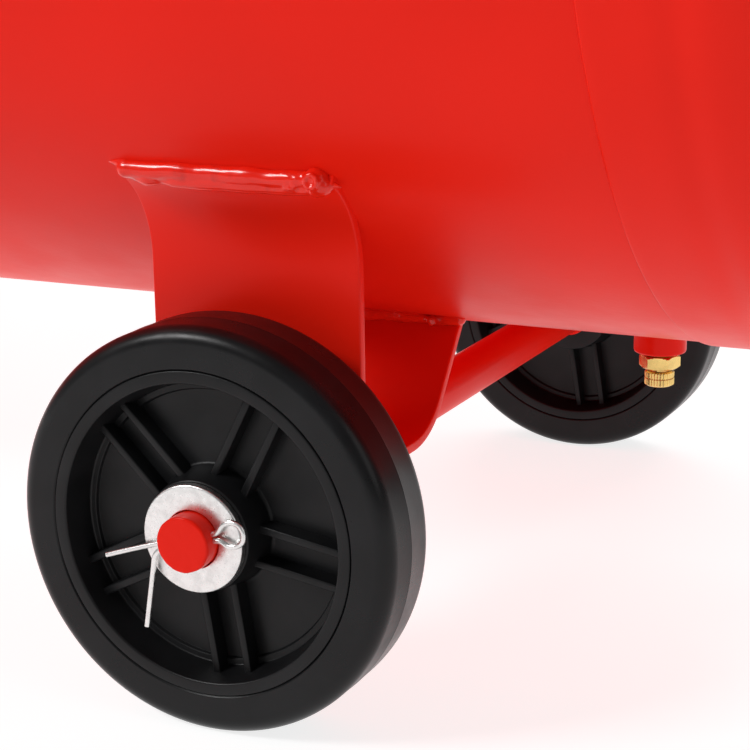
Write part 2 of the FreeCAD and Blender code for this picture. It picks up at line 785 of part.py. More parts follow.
def handle():
    half = dim("handle_half_width")
    far = TANK_X - dim("handle_reach") + dim("grip_radius")
    start, knee = TANK_X - HALF_SHELL + 120, TANK_X - HALF_SHELL - 45
    route = [(start, -half, HANDLE_Z), (knee, -half, HANDLE_Z), (far, -half, HANDLE_Z + HANDLE_RISE),
             (far, half, HANDLE_Z + HANDLE_RISE), (knee, half, HANDLE_Z), (start, half, HANDLE_Z)]
    bar = node(bent_tube("handle_bar", route, dim("tube_radius"), 55, wall=2))
    sleeve = cylinder("grip_sleeve", dim("grip_radius"), 240, (far, -120, HANDLE_Z + HANDLE_RISE), Y)
    bore = cylinder("grip_bore", dim("tube_radius") + 0.1, 260,
                    (far, -130, HANDLE_Z + HANDLE_RISE), Y)
    soft_ends = rounded("grip_rounded", sleeve, 3, lambda e: e.Curve.TypeId == "Part::GeomCircle")
    node(cut("handle_grip", soft_ends, bore))
    return bar


# ---------------------------------------------------------------- platform and fasteners

PUMP_BOLTS = [(sx * 78, sy * 42) for sx in (-1, 1) for sy in (-1, 1)]
MOTOR_BOLTS = [(sx * 70, sy * 45 - 30) for sx in (-1, 1) for sy in (-1, 1)]
MOTOR_FOOT_Y = -30.0


def base_bolt_places():
    pump = [(PUMP_X + x, y) for x, y in PUMP_BOLTS]
    motor = [(MOTOR_X + x, y) for x, y in MOTOR_BOLTS]
    return pump + motor


def platform():
    """A folded plate on three cross webs that follow the tank."""
    half, thick = dim("platform_half_width"), dim("plate")
    under = PLATFORM_Z - thick
    top = box("platform_plate", (dim("platform_length"), half * 2, thick), (TANK_X, 0, under))
    pieces = [top]
    for side in (1, -1):
        pieces.append(box("platform_edge_%d" % (side + 1), (dim("platform_length"), thick, 28),
                          (TANK_X, (half - thick / 2) * side, under - 28)))
    for i, x in enumerate((-240, 20, 240)):
        pieces.append(box("platform_web_%d" % i, (thick, (half - thick) * 2, 70),
                          (TANK_X + x, 0, under - 70)))
    holes = [cylinder("platform_hole_%d" % i, 4.3, 30, (x, y, under - 10))
             for i, (x, y) in enumerate(base_bolt_places())]
    return node(cut("platform", fuse("platform_stock", *pieces), tank_blank("platform_trim"), *holes))


def bolt(name, at, along=Z, shank=12, flats=13, turn=0):
    """A hex bolt whose head sits on the given place and whose shank goes the other way."""
    back = V(*along) * -1
    head = hexagon(name + "_head", flats, 5.5, at, along, turn)
    stem = cylinder(name + "_shank", 4, shank, at, tuple(back))
    return fuse(name, head, stem)


def bank_point(bank, distance, lateral=0.0):
    """X and Z offset from the crank for a point on a cylinder bank: bank is -1 or 1."""
    slant = math.sqrt(0.5)
    along = size(distance) * slant
    side = size(lateral) * slant
    return along * bank + side * -bank, along + side


def hex_bolts():
    bolts = []
    for i, (x, y) in enumerate(base_bolt_places()):
        bolts.append(bolt("base_bolt_%d" % i, (x, y, PLATFORM_Z + 12), shank=20, turn=7 * i))
    for i, y in enumerate((-82, 82)):
        bolts.append(bolt("foot_bolt_%d" % i, (TANK_X - dim("foot_from_centre"), y, 33), shank=18))
    for i in range(6):
        angle = math.radians(60 * i)
        at = (PUMP_X + COVER_BOLT_RADIUS * math.cos(angle), -72,
              CRANK_Z + COVER_BOLT_RADIUS * math.sin(angle))
        bolts.append(bolt("cover_bolt_%d" % i, at, (0, -1, 0), shank=9, turn=11 * i))
    for bank in (-1, 1):
        up = bank_axis(bank)
        for i, (a, b) in enumerate(HEAD_BOLTS):
            at = bank_place(bank, HEAD_SEAT, a, b)
            bolts.append(bolt("head_bolt_%d_%d" % (bank + 1, i), at, up, shank=12, flats=13))
    return node(group("hex_bolts", *bolts))


# ---------------------------------------------------------------- pump

COVER_BOLT_RADIUS = 58.0
BORE = dim("bore_radius")
DECK = dim("deck_distance")
BARREL_TOP = DECK + dim("barrel_length")
PLATE_TOP = BARREL_TOP + dim("valve_plate")
HEAD_BASE = 14.0
HEAD_SEAT = PLATE_TOP + HEAD_BASE
HEAD_BOLTS = [(a * 36, b * 36) for a in (-1, 1) for b in (-1, 1)]
ROD_LENGTH = 110.0
PISTON_CROWN = 26.0
SHAFT_RADIUS = 12.5
BEARING_RADIUS = 26.0
PIN_RADIUS = 11.0


def bank_axis(bank):
    slant = math.sqrt(0.5)
    return (bank * slant, 0, slant)


def bank_place(bank, distance, a=0.0, b=0.0):
    """A place on a cylinder bank: distance from the crank, then a across and b along Y."""
    dx, dz = bank_point(bank, distance, a)
    return (PUMP_X + dx, BANK_STEP * bank + b, CRANK_Z + dz)


def bank_turn(bank):
    return turn_about(Y, 45 * bank)


def bank_box(name, lengths, bank, distance):
    """A box on a cylinder bank with its base at a distance from the crank."""
    item = doc.addObject("Part::Box", name)
    for prop, value in zip(("Length", "Width", "Height"), lengths):
        bind(item, prop, value)
    half_x, half_y = size(lengths[0]) / 2, size(lengths[1]) / 2
    dx, dz = bank_point(bank, distance, half_x * bank)
    corner = (PUMP_X + dx, BANK_STEP * bank - half_y, CRANK_Z + dz)
    return place(item, corner, bank_turn(bank))


def crankcase():
    shell = cylinder("case_barrel", 70, 124, (PUMP_X, -62, CRANK_Z), Y)
    base = box("case_base", (130, 110, dim("crank_height")), (PUMP_X, 0, PLATFORM_Z))
    foot = box("case_foot", (184, 118, 12), (PUMP_X, 0, PLATFORM_Z))
    decks = [bank_box("case_deck_%d" % (b + 1), (88, 88, 30), b, DECK - 30) for b in (-1, 1)]
    filler = cylinder("case_filler_boss", 13, 76, (PUMP_X, 0, CRANK_Z))
    chamber = cylinder("case_chamber", 60, 114, (PUMP_X, -62, CRANK_Z), Y)
    sump = box("case_sump", (104, 86, 80), (PUMP_X, 0, PLATFORM_Z + 14))
    bearing = cylinder("case_bearing_seat", BEARING_RADIUS, 40, (PUMP_X, 40, CRANK_Z), Y)
    fill = cylinder("case_filler_bore", 8.3, 60, (PUMP_X, 0, CRANK_Z + 20))
    bores = [cylinder("case_bore_%d" % (b + 1), 39, 90, (PUMP_X, BANK_STEP * b, CRANK_Z), bank_axis(b))
             for b in (-1, 1)]
    holes = [cylinder("case_hole_%d" % i, 4.3, 20, (PUMP_X + x, y, PLATFORM_Z - 4))
             for i, (x, y) in enumerate(PUMP_BOLTS)]
    threads = [cylinder("case_cover_hole_%d" % i, 4.2, 14,
                        (PUMP_X + COVER_BOLT_RADIUS * math.cos(math.radians(60 * i)), -73,
                         CRANK_Z + COVER_BOLT_RADIUS * math.sin(math.radians(60 * i))), Y)
               for i in range(6)]
    stock = fuse("case_stock", shell, base, foot, filler, *decks)
    return node(cut("crankcase", stock, chamber, sump, bearing, fill, *(bores + holes + threads)))


def crankcase_cover():
    item = body("cover_casting")
    section = outline(item, "cover_section", "XY_Plane", [
        (0, -84), (26, -84), (32, -72), (70, -72), (70, -62), (59.5, -62), (59.5, -58), (34, -58),
        (34, -50), (BEARING_RADIUS, -50), (BEARING_RADIUS, -66), (0, -66)])
    revolve(item, section, "Y_Axis")
    place(item, (PUMP_X, 0, CRANK_Z))
    holes = [cylinder("cover_hole_%d" % i, 4.2, 30,
                      (PUMP_X + COVER_BOLT_RADIUS * math.cos(math.radians(60 * i)), -80,
                       CRANK_Z + COVER_BOLT_RADIUS * math.sin(math.radians(60 * i))), Y)
             for i in range(6)]
    glass = cylinder("cover_glass_hole", 11.2, 30, (PUMP_X, -80, CRANK_Z - 46), Y)
    return node(cut("crankcase_cover", item, glass, *holes))


WEB_FACE = 17.0
WEB_THICK = 11.0
WEB_RADIUS = 42.0


def crankshaft():
    """The two halves of a two web crank, without the pin that its rods hold."""
    web_back = WEB_FACE + WEB_THICK
    front_reach, back_reach = 65, BELT_Y + 22
    front = fuse("crank_front_half",
                 cylinder("crank_front", SHAFT_RADIUS, front_reach - web_back,
                          (PUMP_X, -front_reach, CRANK_Z), Y),
                 cylinder("crank_front_web", WEB_RADIUS, WEB_THICK, (PUMP_X, -web_back, CRANK_Z), Y))
    back = fuse("crank_back_half",
                cylinder("crank_back_web", WEB_RADIUS, WEB_THICK, (PUMP_X, WEB_FACE, CRANK_Z), Y),
                cylinder("crank_back", SHAFT_RADIUS, back_reach - web_back,
                         (PUMP_X, web_back, CRANK_Z), Y))
    return node(group("crankshaft", front, back))


def crank_pin():
    """The pin in both big ends, upright at rest, with clearance at the webs."""
    reach = WEB_FACE - 0.3
    return cylinder("crank_pin", PIN_RADIUS, reach * 2,
                    (PUMP_X, -reach, CRANK_Z + dim("half_stroke")), Y)


def crank_bearings():
    """Two ball bearings, each drawn as one closed ring."""
    rings = []
    for name, y in (("front", -65.7), ("back", 44)):
        blank = cylinder(name + "_bearing_ring", BEARING_RADIUS - 0.05, 15, (PUMP_X, y, CRANK_Z), Y)
        bore = cylinder(name + "_bearing_bore", SHAFT_RADIUS + 0.06, 30, (PUMP_X, y - 5, CRANK_Z), Y)
        rings.append(cut(name + "_bearing", blank, bore))
    return node(group("crank_bearings", *rings))


def cylinder_barrel(name, bank):
    """A finned barrel with its bore along the bank's axis."""
    item = body(name)
    barrel, fin, length = dim("barrel_radius"), dim("fin_radius"), dim("barrel_length")
    corners = [(BORE, 0), (44, 0), (44, 8), (barrel, 8)]
    count, pitch, thick = 6, 10.0, 3.2
    for i in range(count):
        low = 13 + pitch * i
        corners += [(barrel, low), (fin, low), (fin, low + thick), (barrel, low + thick)]
    corners += [(barrel, length - 9), (fin - 3, length - 9), (fin - 3, length), (BORE, length)]
    revolve(item, outline(item, name + "_section", "XZ_Plane", corners), "Z_Axis")
    place(item, bank_place(bank, DECK), bank_turn(bank))
    holes = [cylinder("%s_hole_%d" % (name, i), 4.2, 14, bank_place(bank, BARREL_TOP - 8, a, b),
                      bank_axis(bank)) for i, (a, b) in enumerate(HEAD_BOLTS)]
    return cut(name + "_drilled", item, *holes)


def valve_plate(name, bank):
    blank = cylinder(name + "_disc", 52, dim("valve_plate"), bank_place(bank, BARREL_TOP),
                     bank_axis(bank))
    ports = [cylinder("%s_port_%d" % (name, i), 5, 20, bank_place(bank, BARREL_TOP - 5, 0, b),
                      bank_axis(bank)) for i, b in enumerate((-15, 15))]
    holes = [cylinder("%s_hole_%d" % (name, i), 4.2, 24, bank_place(bank, BARREL_TOP - 8, a, b),
                      bank_axis(bank)) for i, (a, b) in enumerate(HEAD_BOLTS)]
    return cut(name, blank, *(ports + holes))


def cylinder_head(name, bank):
    """A cast head: a solid base with upright fins, an intake port and outlet ports."""
    base = cylinder(name + "_base", 54, HEAD_BASE, bank_place(bank, PLATE_TOP), bank_axis(bank))
    stock = cylinder(name + "_stock", 54, dim("head_height"), bank_place(bank, PLATE_TOP),
                     bank_axis(bank))
    chamber = cylinder(name + "_chamber", 26, 8, bank_place(bank, PLATE_TOP - 1), bank_axis(bank))
    gaps = []
    for i in range(10):
        offset = (i - 4.5) * 10.4
        gap = doc.addObject("Part::Box", "%s_gap_%d" % (name, i))
        for prop, value in zip(("Length", "Width", "Height"), (140, 6.6, 40)):
            bind(gap, prop, value)
        dx, dz = bank_point(bank, HEAD_SEAT, 70.0 * bank)
        place(gap, (PUMP_X + dx, BANK_STEP * bank + offset - 3.3, CRANK_Z + dz), bank_turn(bank))
        gaps.append(gap)
    pocket_for_bolts = [cylinder("%s_spot_%d" % (name, i), 9, 40, bank_place(bank, HEAD_SEAT, a, b),
                                 bank_axis(bank)) for i, (a, b) in enumerate(HEAD_BOLTS)]
    holes = [cylinder("%s_hole_%d" % (name, i), 4.2, 40, bank_place(bank, PLATE_TOP - 8, a, b),
                      bank_axis(bank)) for i, (a, b) in enumerate(HEAD_BOLTS)]
    finned = cut(name + "_finned", stock, *(gaps + pocket_for_bolts))
    whole = fuse(name + "_whole", base, finned)
    ports = [cylinder(name + "_intake_port", 9.1, 40, bank_place(bank, PLATE_TOP + 10.5, 0, -70), Y)]
    for i, lateral in enumerate((-1, 1)):
        dx, dz = bank_point(bank, PLATE_TOP + 8, 34.0 * lateral)
        direction = (-bank * lateral * math.sqrt(0.5), 0, lateral * math.sqrt(0.5))
        ports.append(cylinder("%s_outlet_%d" % (name, i), 6.2, 40,
                              (PUMP_X + dx, BANK_STEP * bank, CRANK_Z + dz), direction))
    return cut(name, whole, chamber, *(ports + holes))


def piston(name, bank):
    """A piston at its rest height, with its wrist pin."""
    throw = dim("half_stroke").number
    slant = throw * math.sqrt(0.5)
    wrist = slant + math.sqrt(ROD_LENGTH ** 2 - slant ** 2)
    skirt = cylinder(name + "_skirt", BORE - 0.1, 46, bank_place(bank, wrist - 20), bank_axis(bank))
    hollow = cylinder(name + "_hollow", 26, 36, bank_place(bank, wrist - 21), bank_axis(bank))
    pin = cylinder(name + "_pin", 7, 58, bank_place(bank, wrist, 0, -29), Y)
    return fuse(name, cut(name + "_cup", skirt, hollow), pin)


def connecting_rod(name, bank):
    """A rod from the raised crank pin to the wrist pin of its piston."""
    throw = dim("half_stroke").number
    slant = throw * math.sqrt(0.5)
    wrist = slant + math.sqrt(ROD_LENGTH ** 2 - slant ** 2)
    small = bank_place(bank, wrist)
    big = (PUMP_X, BANK_STEP * bank, CRANK_Z + dim("half_stroke"))
    heading = V(small[0].number - big[0].number, 0, small[2].number - big[2].number).normalize()
    wide, half = 6.0, 6.5
    near_face = BANK_STEP * bank - half
    big_end = cylinder(name + "_big", 17, half * 2, (big[0], near_face, big[2]), Y)
    small_end = cylinder(name + "_small", 11.5, half * 2, (small[0], near_face, small[2]), Y)
    shank = doc.addObject("Part::Box", name + "_shank")
    for prop, value in zip(("Length", "Width", "Height"), (wide * 2, half * 2, ROD_LENGTH)):
        bind(shank, prop, value)
    turn = FreeCAD.Rotation(V(*Z), heading)
    corner = V(big[0].number, 0, big[2].number) - turn.multVec(V(wide, 0, 0))
    shank.Placement = FreeCAD.Placement(V(corner.x, near_face, corner.z), turn)
    big_bore = cylinder(name + "_big_bore", PIN_RADIUS + 0.06, 40, (big[0], -20, big[2]), Y)
    small_bore = cylinder(name + "_small_bore", 7.05, 60, (small[0], -30, small[2]), Y)
    return cut(name, fuse(name + "_stock", big_end, small_end, shank), big_bore, small_bore)


def air_filter(name, bank):
    """A drum filter on the intake side of a head."""
    x, y, z = bank_place(bank, PLATE_TOP + 10.5)
    start = y - 54 + 5
    stub = cylinder(name + "_stub", 9, 18, (x, start, z), (0, -1, 0))
    drum = cylinder(name + "_drum", 29, 40, (x, start - 14, z), (0, -1, 0))
    soft = rounded(name + "_soft", drum, 4, lambda e: e.Curve.TypeId == "Part::GeomCircle")
    grooves = []
    for i in range(3):
        blank = cylinder("%s_groove_%d" % (name, i), 32, 2.5, (x, start - 26 - 8 * i, z), (0, -1, 0))
        core = cylinder("%s_core_%d" % (name, i), 27.4, 2.5, (x, start - 26 - 8 * i, z), (0, -1, 0))
        grooves.append(cut("%s_ring_%d" % (name, i), blank, core))
    return cut(name, fuse(name + "_stock", stub, soft), *grooves)


def pump():
    crankcase()
    crankcase_cover()
    crankshaft()
    crank_bearings()
    banks = (("left", -1), ("right", 1))
    node(group("cylinders", *[cylinder_barrel(n + "_cylinder", b) for n, b in banks]))
    node(group("valve_plates", *[valve_plate(n + "_valve_plate", b) for n, b in banks]))
    node(group("cylinder_heads", *[cylinder_head(n + "_head", b) for n, b in banks]))
    node(group("pistons", *[piston(n + "_piston", b) for n, b in banks]))
    rods = [connecting_rod(n + "_rod", b) for n, b in banks]
    node(group("connecting_rods", crank_pin(), *rods))
    node(group("air_filters", *[air_filter(n + "_filter", b) for n, b in banks]))
    window = cylinder("glass_disc", 11, 9, (PUMP_X, -66, CRANK_Z - 46), (0, -1, 0))
    bezel = cylinder("glass_bezel", 13.5, 3, (PUMP_X, -72.1, CRANK_Z - 46), (0, -1, 0))
    node(fuse("oil_sight_glass", window, bezel))
    plug_stem = cylinder("filler_stem", 8.2, 15, (PUMP_X, 0, CRANK_Z + 62))
    plug_cap = cylinder("filler_knob", 12, 10, (PUMP_X, 0, CRANK_Z + 76.1))
    node(fuse("oil_filler_cap", plug_stem, plug_cap))


# ---------------------------------------------------------------- drive

def groove_half(offset, slack):
    """Half the width of the V section at an offset from the pitch line."""
    return 5.5 + BELT_SLOPE * offset + slack


def rim_corners(radius, half_width):
    """The outer edge of a one groove pulley, from its -Y face to its +Y face, in X and Y."""
    below_pitch, slack = 8, 0.35
    mouth, floor = groove_half(PITCH_DROP, slack), groove_half(-below_pitch, slack)
    deep = radius - PITCH_DROP - below_pitch
    return [(radius, -half_width), (radius, -mouth), (deep, -floor), (deep, floor),
            (radius, mouth), (radius, half_width)]


def flywheel():
    """A cast flywheel whose spokes are pitched like fan blades."""
    item = body("flywheel")
    radius, half = dim("flywheel_radius"), size(17)
    inner = radius - 24
    rim = outline(item, "rim_section", "XY_Plane",
                  [(inner, -half), *rim_corners(radius, half), (inner, half)])
    revolve(item, rim, "Y_Axis")
    hub = outline(item, "flywheel_hub_section", "XZ_Plane", [
        (SHAFT_RADIUS, -1), (inner + 2, -9), (inner + 2, 9), (SHAFT_RADIUS, 1)], lift=-8)
    spoke = pad(item, hub, 16)
    repeat_round(item, [spoke], "Y_Axis", 6)
    centre = outline(item, "flywheel_boss", "XY_Plane", [
        (0, -20), (30, -20), (30, 18), (0, 18)])
    revolve(item, centre, "Y_Axis")
    bore = disc(item, "flywheel_bore", "XZ_Plane", SHAFT_RADIUS)
    pocket(item, bore, 100, both_ways=True)
    return node(place(item, (PUMP_X, BELT_Y, CRANK_Z)))


def motor_pulley():
    item = body("motor_pulley")
    bore, hub, half = 10, 24, size(11)
    section = outline(item, "pulley_section", "XY_Plane", [
        (bore, -22), (hub, -22), (hub, -half), *rim_corners(dim("pulley_radius"), half),
        (hub, half), (hub, 13), (bore, 13)])
    revolve(item, section, "Y_Axis")
    return node(place(item, (MOTOR_X, BELT_Y, MOTOR_Z)))


def wrap_points(big, small):
    """Tangent points of the loop round the flywheel and the motor pulley, from the crank."""
    dx = dim("motor_offset") - dim("pump_offset")
    dz = dim("shaft_height") - dim("crank_height")
    apart = root(dx * dx + dz * dz)
    ux, uz = dx / apart, dz / apart
    sine = (size(big) - small) / apart
    cosine = root(1 - sine * sine)

    def point(radius, sign, from_motor):
        nx, nz = ux * sine - uz * cosine * sign, uz * sine + ux * cosine * sign
        return (dx * from_motor + nx * radius, dz * from_motor + nz * radius)

    far = (-ux * big, -uz * big)
    return point(big, 1, 0), far, point(big, -1, 0), point(small, -1, 1), point(small, 1, 1)


def wrap_outline(item, name, big, small, lift):
    """The closed outline round both pulleys as a sketch across Y."""
    top, far, bottom, low_end, high_end = wrap_points(big, small)
    return outline(item, name, "XZ_Plane", [
        (*top, big), (*far, big), bottom, (*low_end, small), high_end], lift=lift)


def v_belt():
    """The belt, a V section swept round the pitch lines of both pulleys."""
    item = doc.addObject("Part::Feature", "v_belt")
    big, small = FLYWHEEL_PITCH, PULLEY_PITCH
    points = [V(size(x).number, 0, size(z).number) for x, z in wrap_points(big, small)]
    top, far, bottom, low_end, high_end = points
    centre = V((dim("motor_offset") - dim("pump_offset")).number, 0,
               (dim("shaft_height") - dim("crank_height")).number)
    beyond = centre + V(centre.x, 0, centre.z).normalize() * small.number
    upper, lower = (top + far).normalize() * big.number, (far + bottom).normalize() * big.number
    path = Part.Wire([
        Part.Arc(top, upper, far).toShape(), Part.Arc(far, lower, bottom).toShape(),
        Part.LineSegment(bottom, low_end).toShape(),
        Part.Arc(low_end, beyond, high_end).toShape(),
        Part.LineSegment(high_end, top).toShape()])
    outward = V(top.x, 0, top.z).normalize()
    high, low = 4.0, -4.5
    corners = [top + outward * d + V(0, s * groove_half(d, 0), 0)
               for d, s in ((high, -1), (high, 1), (low, 1), (low, -1))]
    profile = Part.makePolygon(corners + corners[:1])
    item.Shape = path.makePipeShell([profile], True, False)
    return node(place(item, (PUMP_X, BELT_Y, CRANK_Z)))


GUARD_BACK = 112.0
GUARD_FRONT = 170.0
GUARD_SHEET = 2.0
GUARD_BIG = 158.0
GUARD_SMALL = 68.0


def belt_guard():
    """A flat back plate and a slotted cover that boxes in the belt and both pulleys."""
    plate = body("guard_plate_blank")
    pad(plate, wrap_outline(plate, "guard_plate_outline", size(GUARD_BIG), size(GUARD_SMALL),
                            -(GUARD_BACK - GUARD_SHEET)), GUARD_SHEET, back=True)
    place(plate, (PUMP_X, 0, CRANK_Z))
    shaft_hole = cylinder("guard_shaft_hole", 34, 20, (PUMP_X, GUARD_BACK - 10, CRANK_Z), Y)
    motor_hole = cylinder("guard_motor_hole", 28, 20, (MOTOR_X, GUARD_BACK - 10, MOTOR_Z), Y)
    stay_y = GUARD_BACK - GUARD_SHEET - 1.25
    stays = [box("guard_stay_%d" % i, (30, 2.5, 64), (x, stay_y, PLATFORM_Z - 34))
             for i, x in enumerate((PUMP_X - 60, TANK_X + 60, MOTOR_X + 20))]
    node(fuse("guard_back_plate", cut("guard_plate_holed", plate, shaft_hole, motor_hole), *stays))

    cover = body("guard_cover")
    outside = wrap_outline(cover, "guard_cover_outline", size(GUARD_BIG), size(GUARD_SMALL),
                           -(GUARD_BACK + 0.1))
    pad(cover, outside, GUARD_FRONT - GUARD_BACK - 0.1, back=True)
    soften(cover, 4, lambda e: abs(e.BoundBox.YMin - GUARD_FRONT) < 0.01
           and abs(e.BoundBox.YMax - GUARD_FRONT) < 0.01)
    inside = wrap_outline(cover, "guard_cover_inside", size(GUARD_BIG - GUARD_SHEET),
                          size(GUARD_SMALL - GUARD_SHEET), -(GUARD_BACK - 1))
    pocket(cover, inside, GUARD_FRONT - GUARD_BACK - GUARD_SHEET + 1, back=False)
    place(cover, (PUMP_X, 0, CRANK_Z))
    return cover


def guard_slots(cover):
    """Vent slots in the guard's front, in rings about both shafts."""
    dx = (dim("motor_offset") - dim("pump_offset")).number
    dz = (dim("shaft_height") - dim("crank_height")).number
    rings = ((0, 0, 40, 80, 24), (0, 0, 92, 136, 40), (dx, dz, 18, 50, 16))
    slots = []
    for i, (x, z, near, far, count) in enumerate(rings):
        for j in range(count):
            angle = 360.0 / count * j
            slot = doc.addObject("Part::Box", "slot_%d_%d" % (i, j))
            for prop, value in zip(("Length", "Width", "Height"), (far - near, 12, 5)):
                bind(slot, prop, value)
            turn = turn_about(Y, -angle)
            corner = turn.multVec(V(near, 0, -2.5)) + V(x, 0, z)
            slot.Placement = FreeCAD.Placement(
                V(PUMP_X.number + corner.x, GUARD_FRONT - 8, CRANK_Z.number + corner.z), turn)
            slots.append(slot)
    cover.Label = "guard_cover_blank"
    return node(cut("guard_cover_slotted", cover, *slots), "guard_cover")


# ---------------------------------------------------------------- motor

MOTOR_BACK = -122.0
MOTOR_FRONT = 58.0


def motor_frame():
    item = body("motor_barrel")
    radius = dim("motor_radius")
    ring_section = outline(item, "motor_ring", "XY_Plane", [
        (radius - 8, MOTOR_BACK), (radius, MOTOR_BACK), (radius, MOTOR_FRONT),
        (radius - 8, MOTOR_FRONT)])
    revolve(item, ring_section, "Y_Axis")
    fin = outline(item, "motor_fin", "XZ_Plane", [
        (radius - 2, -1.4), (radius + 8, -1.0), (radius + 8, 1.0), (radius - 2, 1.4)],
        lift=-(MOTOR_BACK + 8))
    blade = pad(item, fin, MOTOR_FRONT - MOTOR_BACK - 16, back=True)
    repeat_round(item, [blade], "Y_Axis", 36)
    place(item, (MOTOR_X, 0, MOTOR_Z))
    feet = []
    for side in (-1, 1):
        feet.append(box("motor_foot_%d" % (side + 1), (44, 120, 12),
                        (MOTOR_X + 64 * side, MOTOR_FOOT_Y, PLATFORM_Z)))
        feet.append(box("motor_leg_%d" % (side + 1), (12, 110, 56),
                        (MOTOR_X + 50 * side, MOTOR_FOOT_Y, PLATFORM_Z)))
    pad_top = box("motor_box_pad", (70, 56, 14), (MOTOR_X, MOTOR_FOOT_Y, MOTOR_Z + radius - 4))
    room = cylinder("motor_room", radius - 8, 240, (MOTOR_X, MOTOR_BACK - 20, MOTOR_Z), Y)
    holes = [cylinder("motor_hole_%d" % i, 4.3, 24, (MOTOR_X + x, y, PLATFORM_Z - 4))
             for i, (x, y) in enumerate(MOTOR_BOLTS)]
    rim_clear = [cylinder("motor_spot_%d" % i, 9, 30, (MOTOR_X + x, y, PLATFORM_Z + 12))
                 for i, (x, y) in enumerate(MOTOR_BOLTS)]
    stock = fuse("motor_stock", item, pad_top, *feet)
    return node(cut("motor_frame", stock, room, *(holes + rim_clear)))


def end_shield(name, face, outward):
    """A cast end shield with a bearing boss; outward is -1 or 1 along Y."""
    item = body(name)
    bore = 10.1
    section = outline(item, name + "_section", "XY_Plane", [
        (bore, -6 * outward), (66, -6 * outward), (66, 0), (80, 0), (80, 8 * outward),
        (60, 12 * outward), (30, 14 * outward), (26, 20 * outward), (bore, 20 * outward)])
    revolve(item, section, "Y_Axis")
    return place(item, (MOTOR_X, face, MOTOR_Z))


def motor():
    motor_frame()
    node(group("motor_end_shields",
               end_shield("drive_end_shield", MOTOR_FRONT + 0.1, 1),
               end_shield("fan_end_shield", MOTOR_BACK - 0.1, -1)))
    core = cylinder("stator_stack", dim("motor_radius") - 8.05, 120, (MOTOR_X, -92, MOTOR_Z), Y)
    gap = cylinder("stator_bore", 45.6, 140, (MOTOR_X, -102, MOTOR_Z), Y)
    node(cut("motor_stator", core, gap))
    shaft = cylinder("rotor_shaft", 10, BELT_Y + 12 + 164, (MOTOR_X, -164, MOTOR_Z), Y)
    stack = cylinder("rotor_stack", 45, 124, (MOTOR_X, -94, MOTOR_Z), Y)
    node(fuse("motor_rotor", shaft, stack))

    hub = cylinder("fan_hub", 20, 22, (MOTOR_X, -166, MOTOR_Z), Y)
    blades = []
    for i in range(8):
        blade = doc.addObject("Part::Box", "fan_blade_%d" % i)
        for prop, value in zip(("Length", "Width", "Height"), (48, 18, 2.4)):
            bind(blade, prop, value)
        turn = turn_about(Y, 45 * i)
        corner = turn.multVec(V(16, 0, -1.2))
        blade.Placement = FreeCAD.Placement(
            V(MOTOR_X.number + corner.x, -164, MOTOR_Z.number + corner.z), turn)
        blades.append(blade)
    bore = cylinder("fan_bore", 10, 60, (MOTOR_X, -180, MOTOR_Z), Y)
    node(cut("motor_fan", fuse("fan_stock", hub, *blades), bore))

    shell = cylinder("fan_cover_shell", 82, 50, (MOTOR_X, -176, MOTOR_Z), Y)
    soft = rounded("fan_cover_soft", shell, 3.5,
                   lambda e: e.Curve.TypeId == "Part::GeomCircle" and abs(e.CenterOfMass.y + 176) < 0.1)
    inside = cylinder("fan_cover_room", 80.2, 60, (MOTOR_X, -174, MOTOR_Z), Y)
    vents = []
    for ring_radius, count in ((24, 10), (38, 16), (52, 22), (65, 28)):
        for i in range(count):
            angle = 2 * math.pi * i / count
            vents.append(cylinder("vent_%d_%d" % (ring_radius, i), 4, 20,
                                  (MOTOR_X + ring_radius * math.cos(angle), -186,
                                   MOTOR_Z + ring_radius * math.sin(angle)), Y))
    node(cut("fan_cover", soft, inside, *vents))

    top = MOTOR_Z + dim("motor_radius") + 10.1
    case = box("terminal_case", (92, 74, 46), (MOTOR_X, MOTOR_FOOT_Y, top))
    soft_case = rounded("terminal_case_soft", case, 5, lambda e: e.Length < 50 and
                        abs(e.BoundBox.ZLength) > 40)
    gland = hexagon("terminal_gland_nut", 20, 8, (MOTOR_X - 46, MOTOR_FOOT_Y, top + 20), (-1, 0, 0))
    cap = cylinder("terminal_gland_cap", 8, 12, (MOTOR_X - 54, MOTOR_FOOT_Y, top + 20), (-1, 0, 0))
    entry = cylinder("terminal_gland_bore", 4, 30, (MOTOR_X - 40, MOTOR_FOOT_Y, top + 20), (-1, 0, 0))
    node(cut("terminal_box", fuse("terminal_stock", soft_case, gland, cap), entry))


# ---------------------------------------------------------------- air fittings

BAR_LOW = 640.0
BAR_SIZE = 30.0
SWITCH_LOW = BAR_LOW + BAR_SIZE + 13.1
UNLOADER_Z = SWITCH_LOW + 29


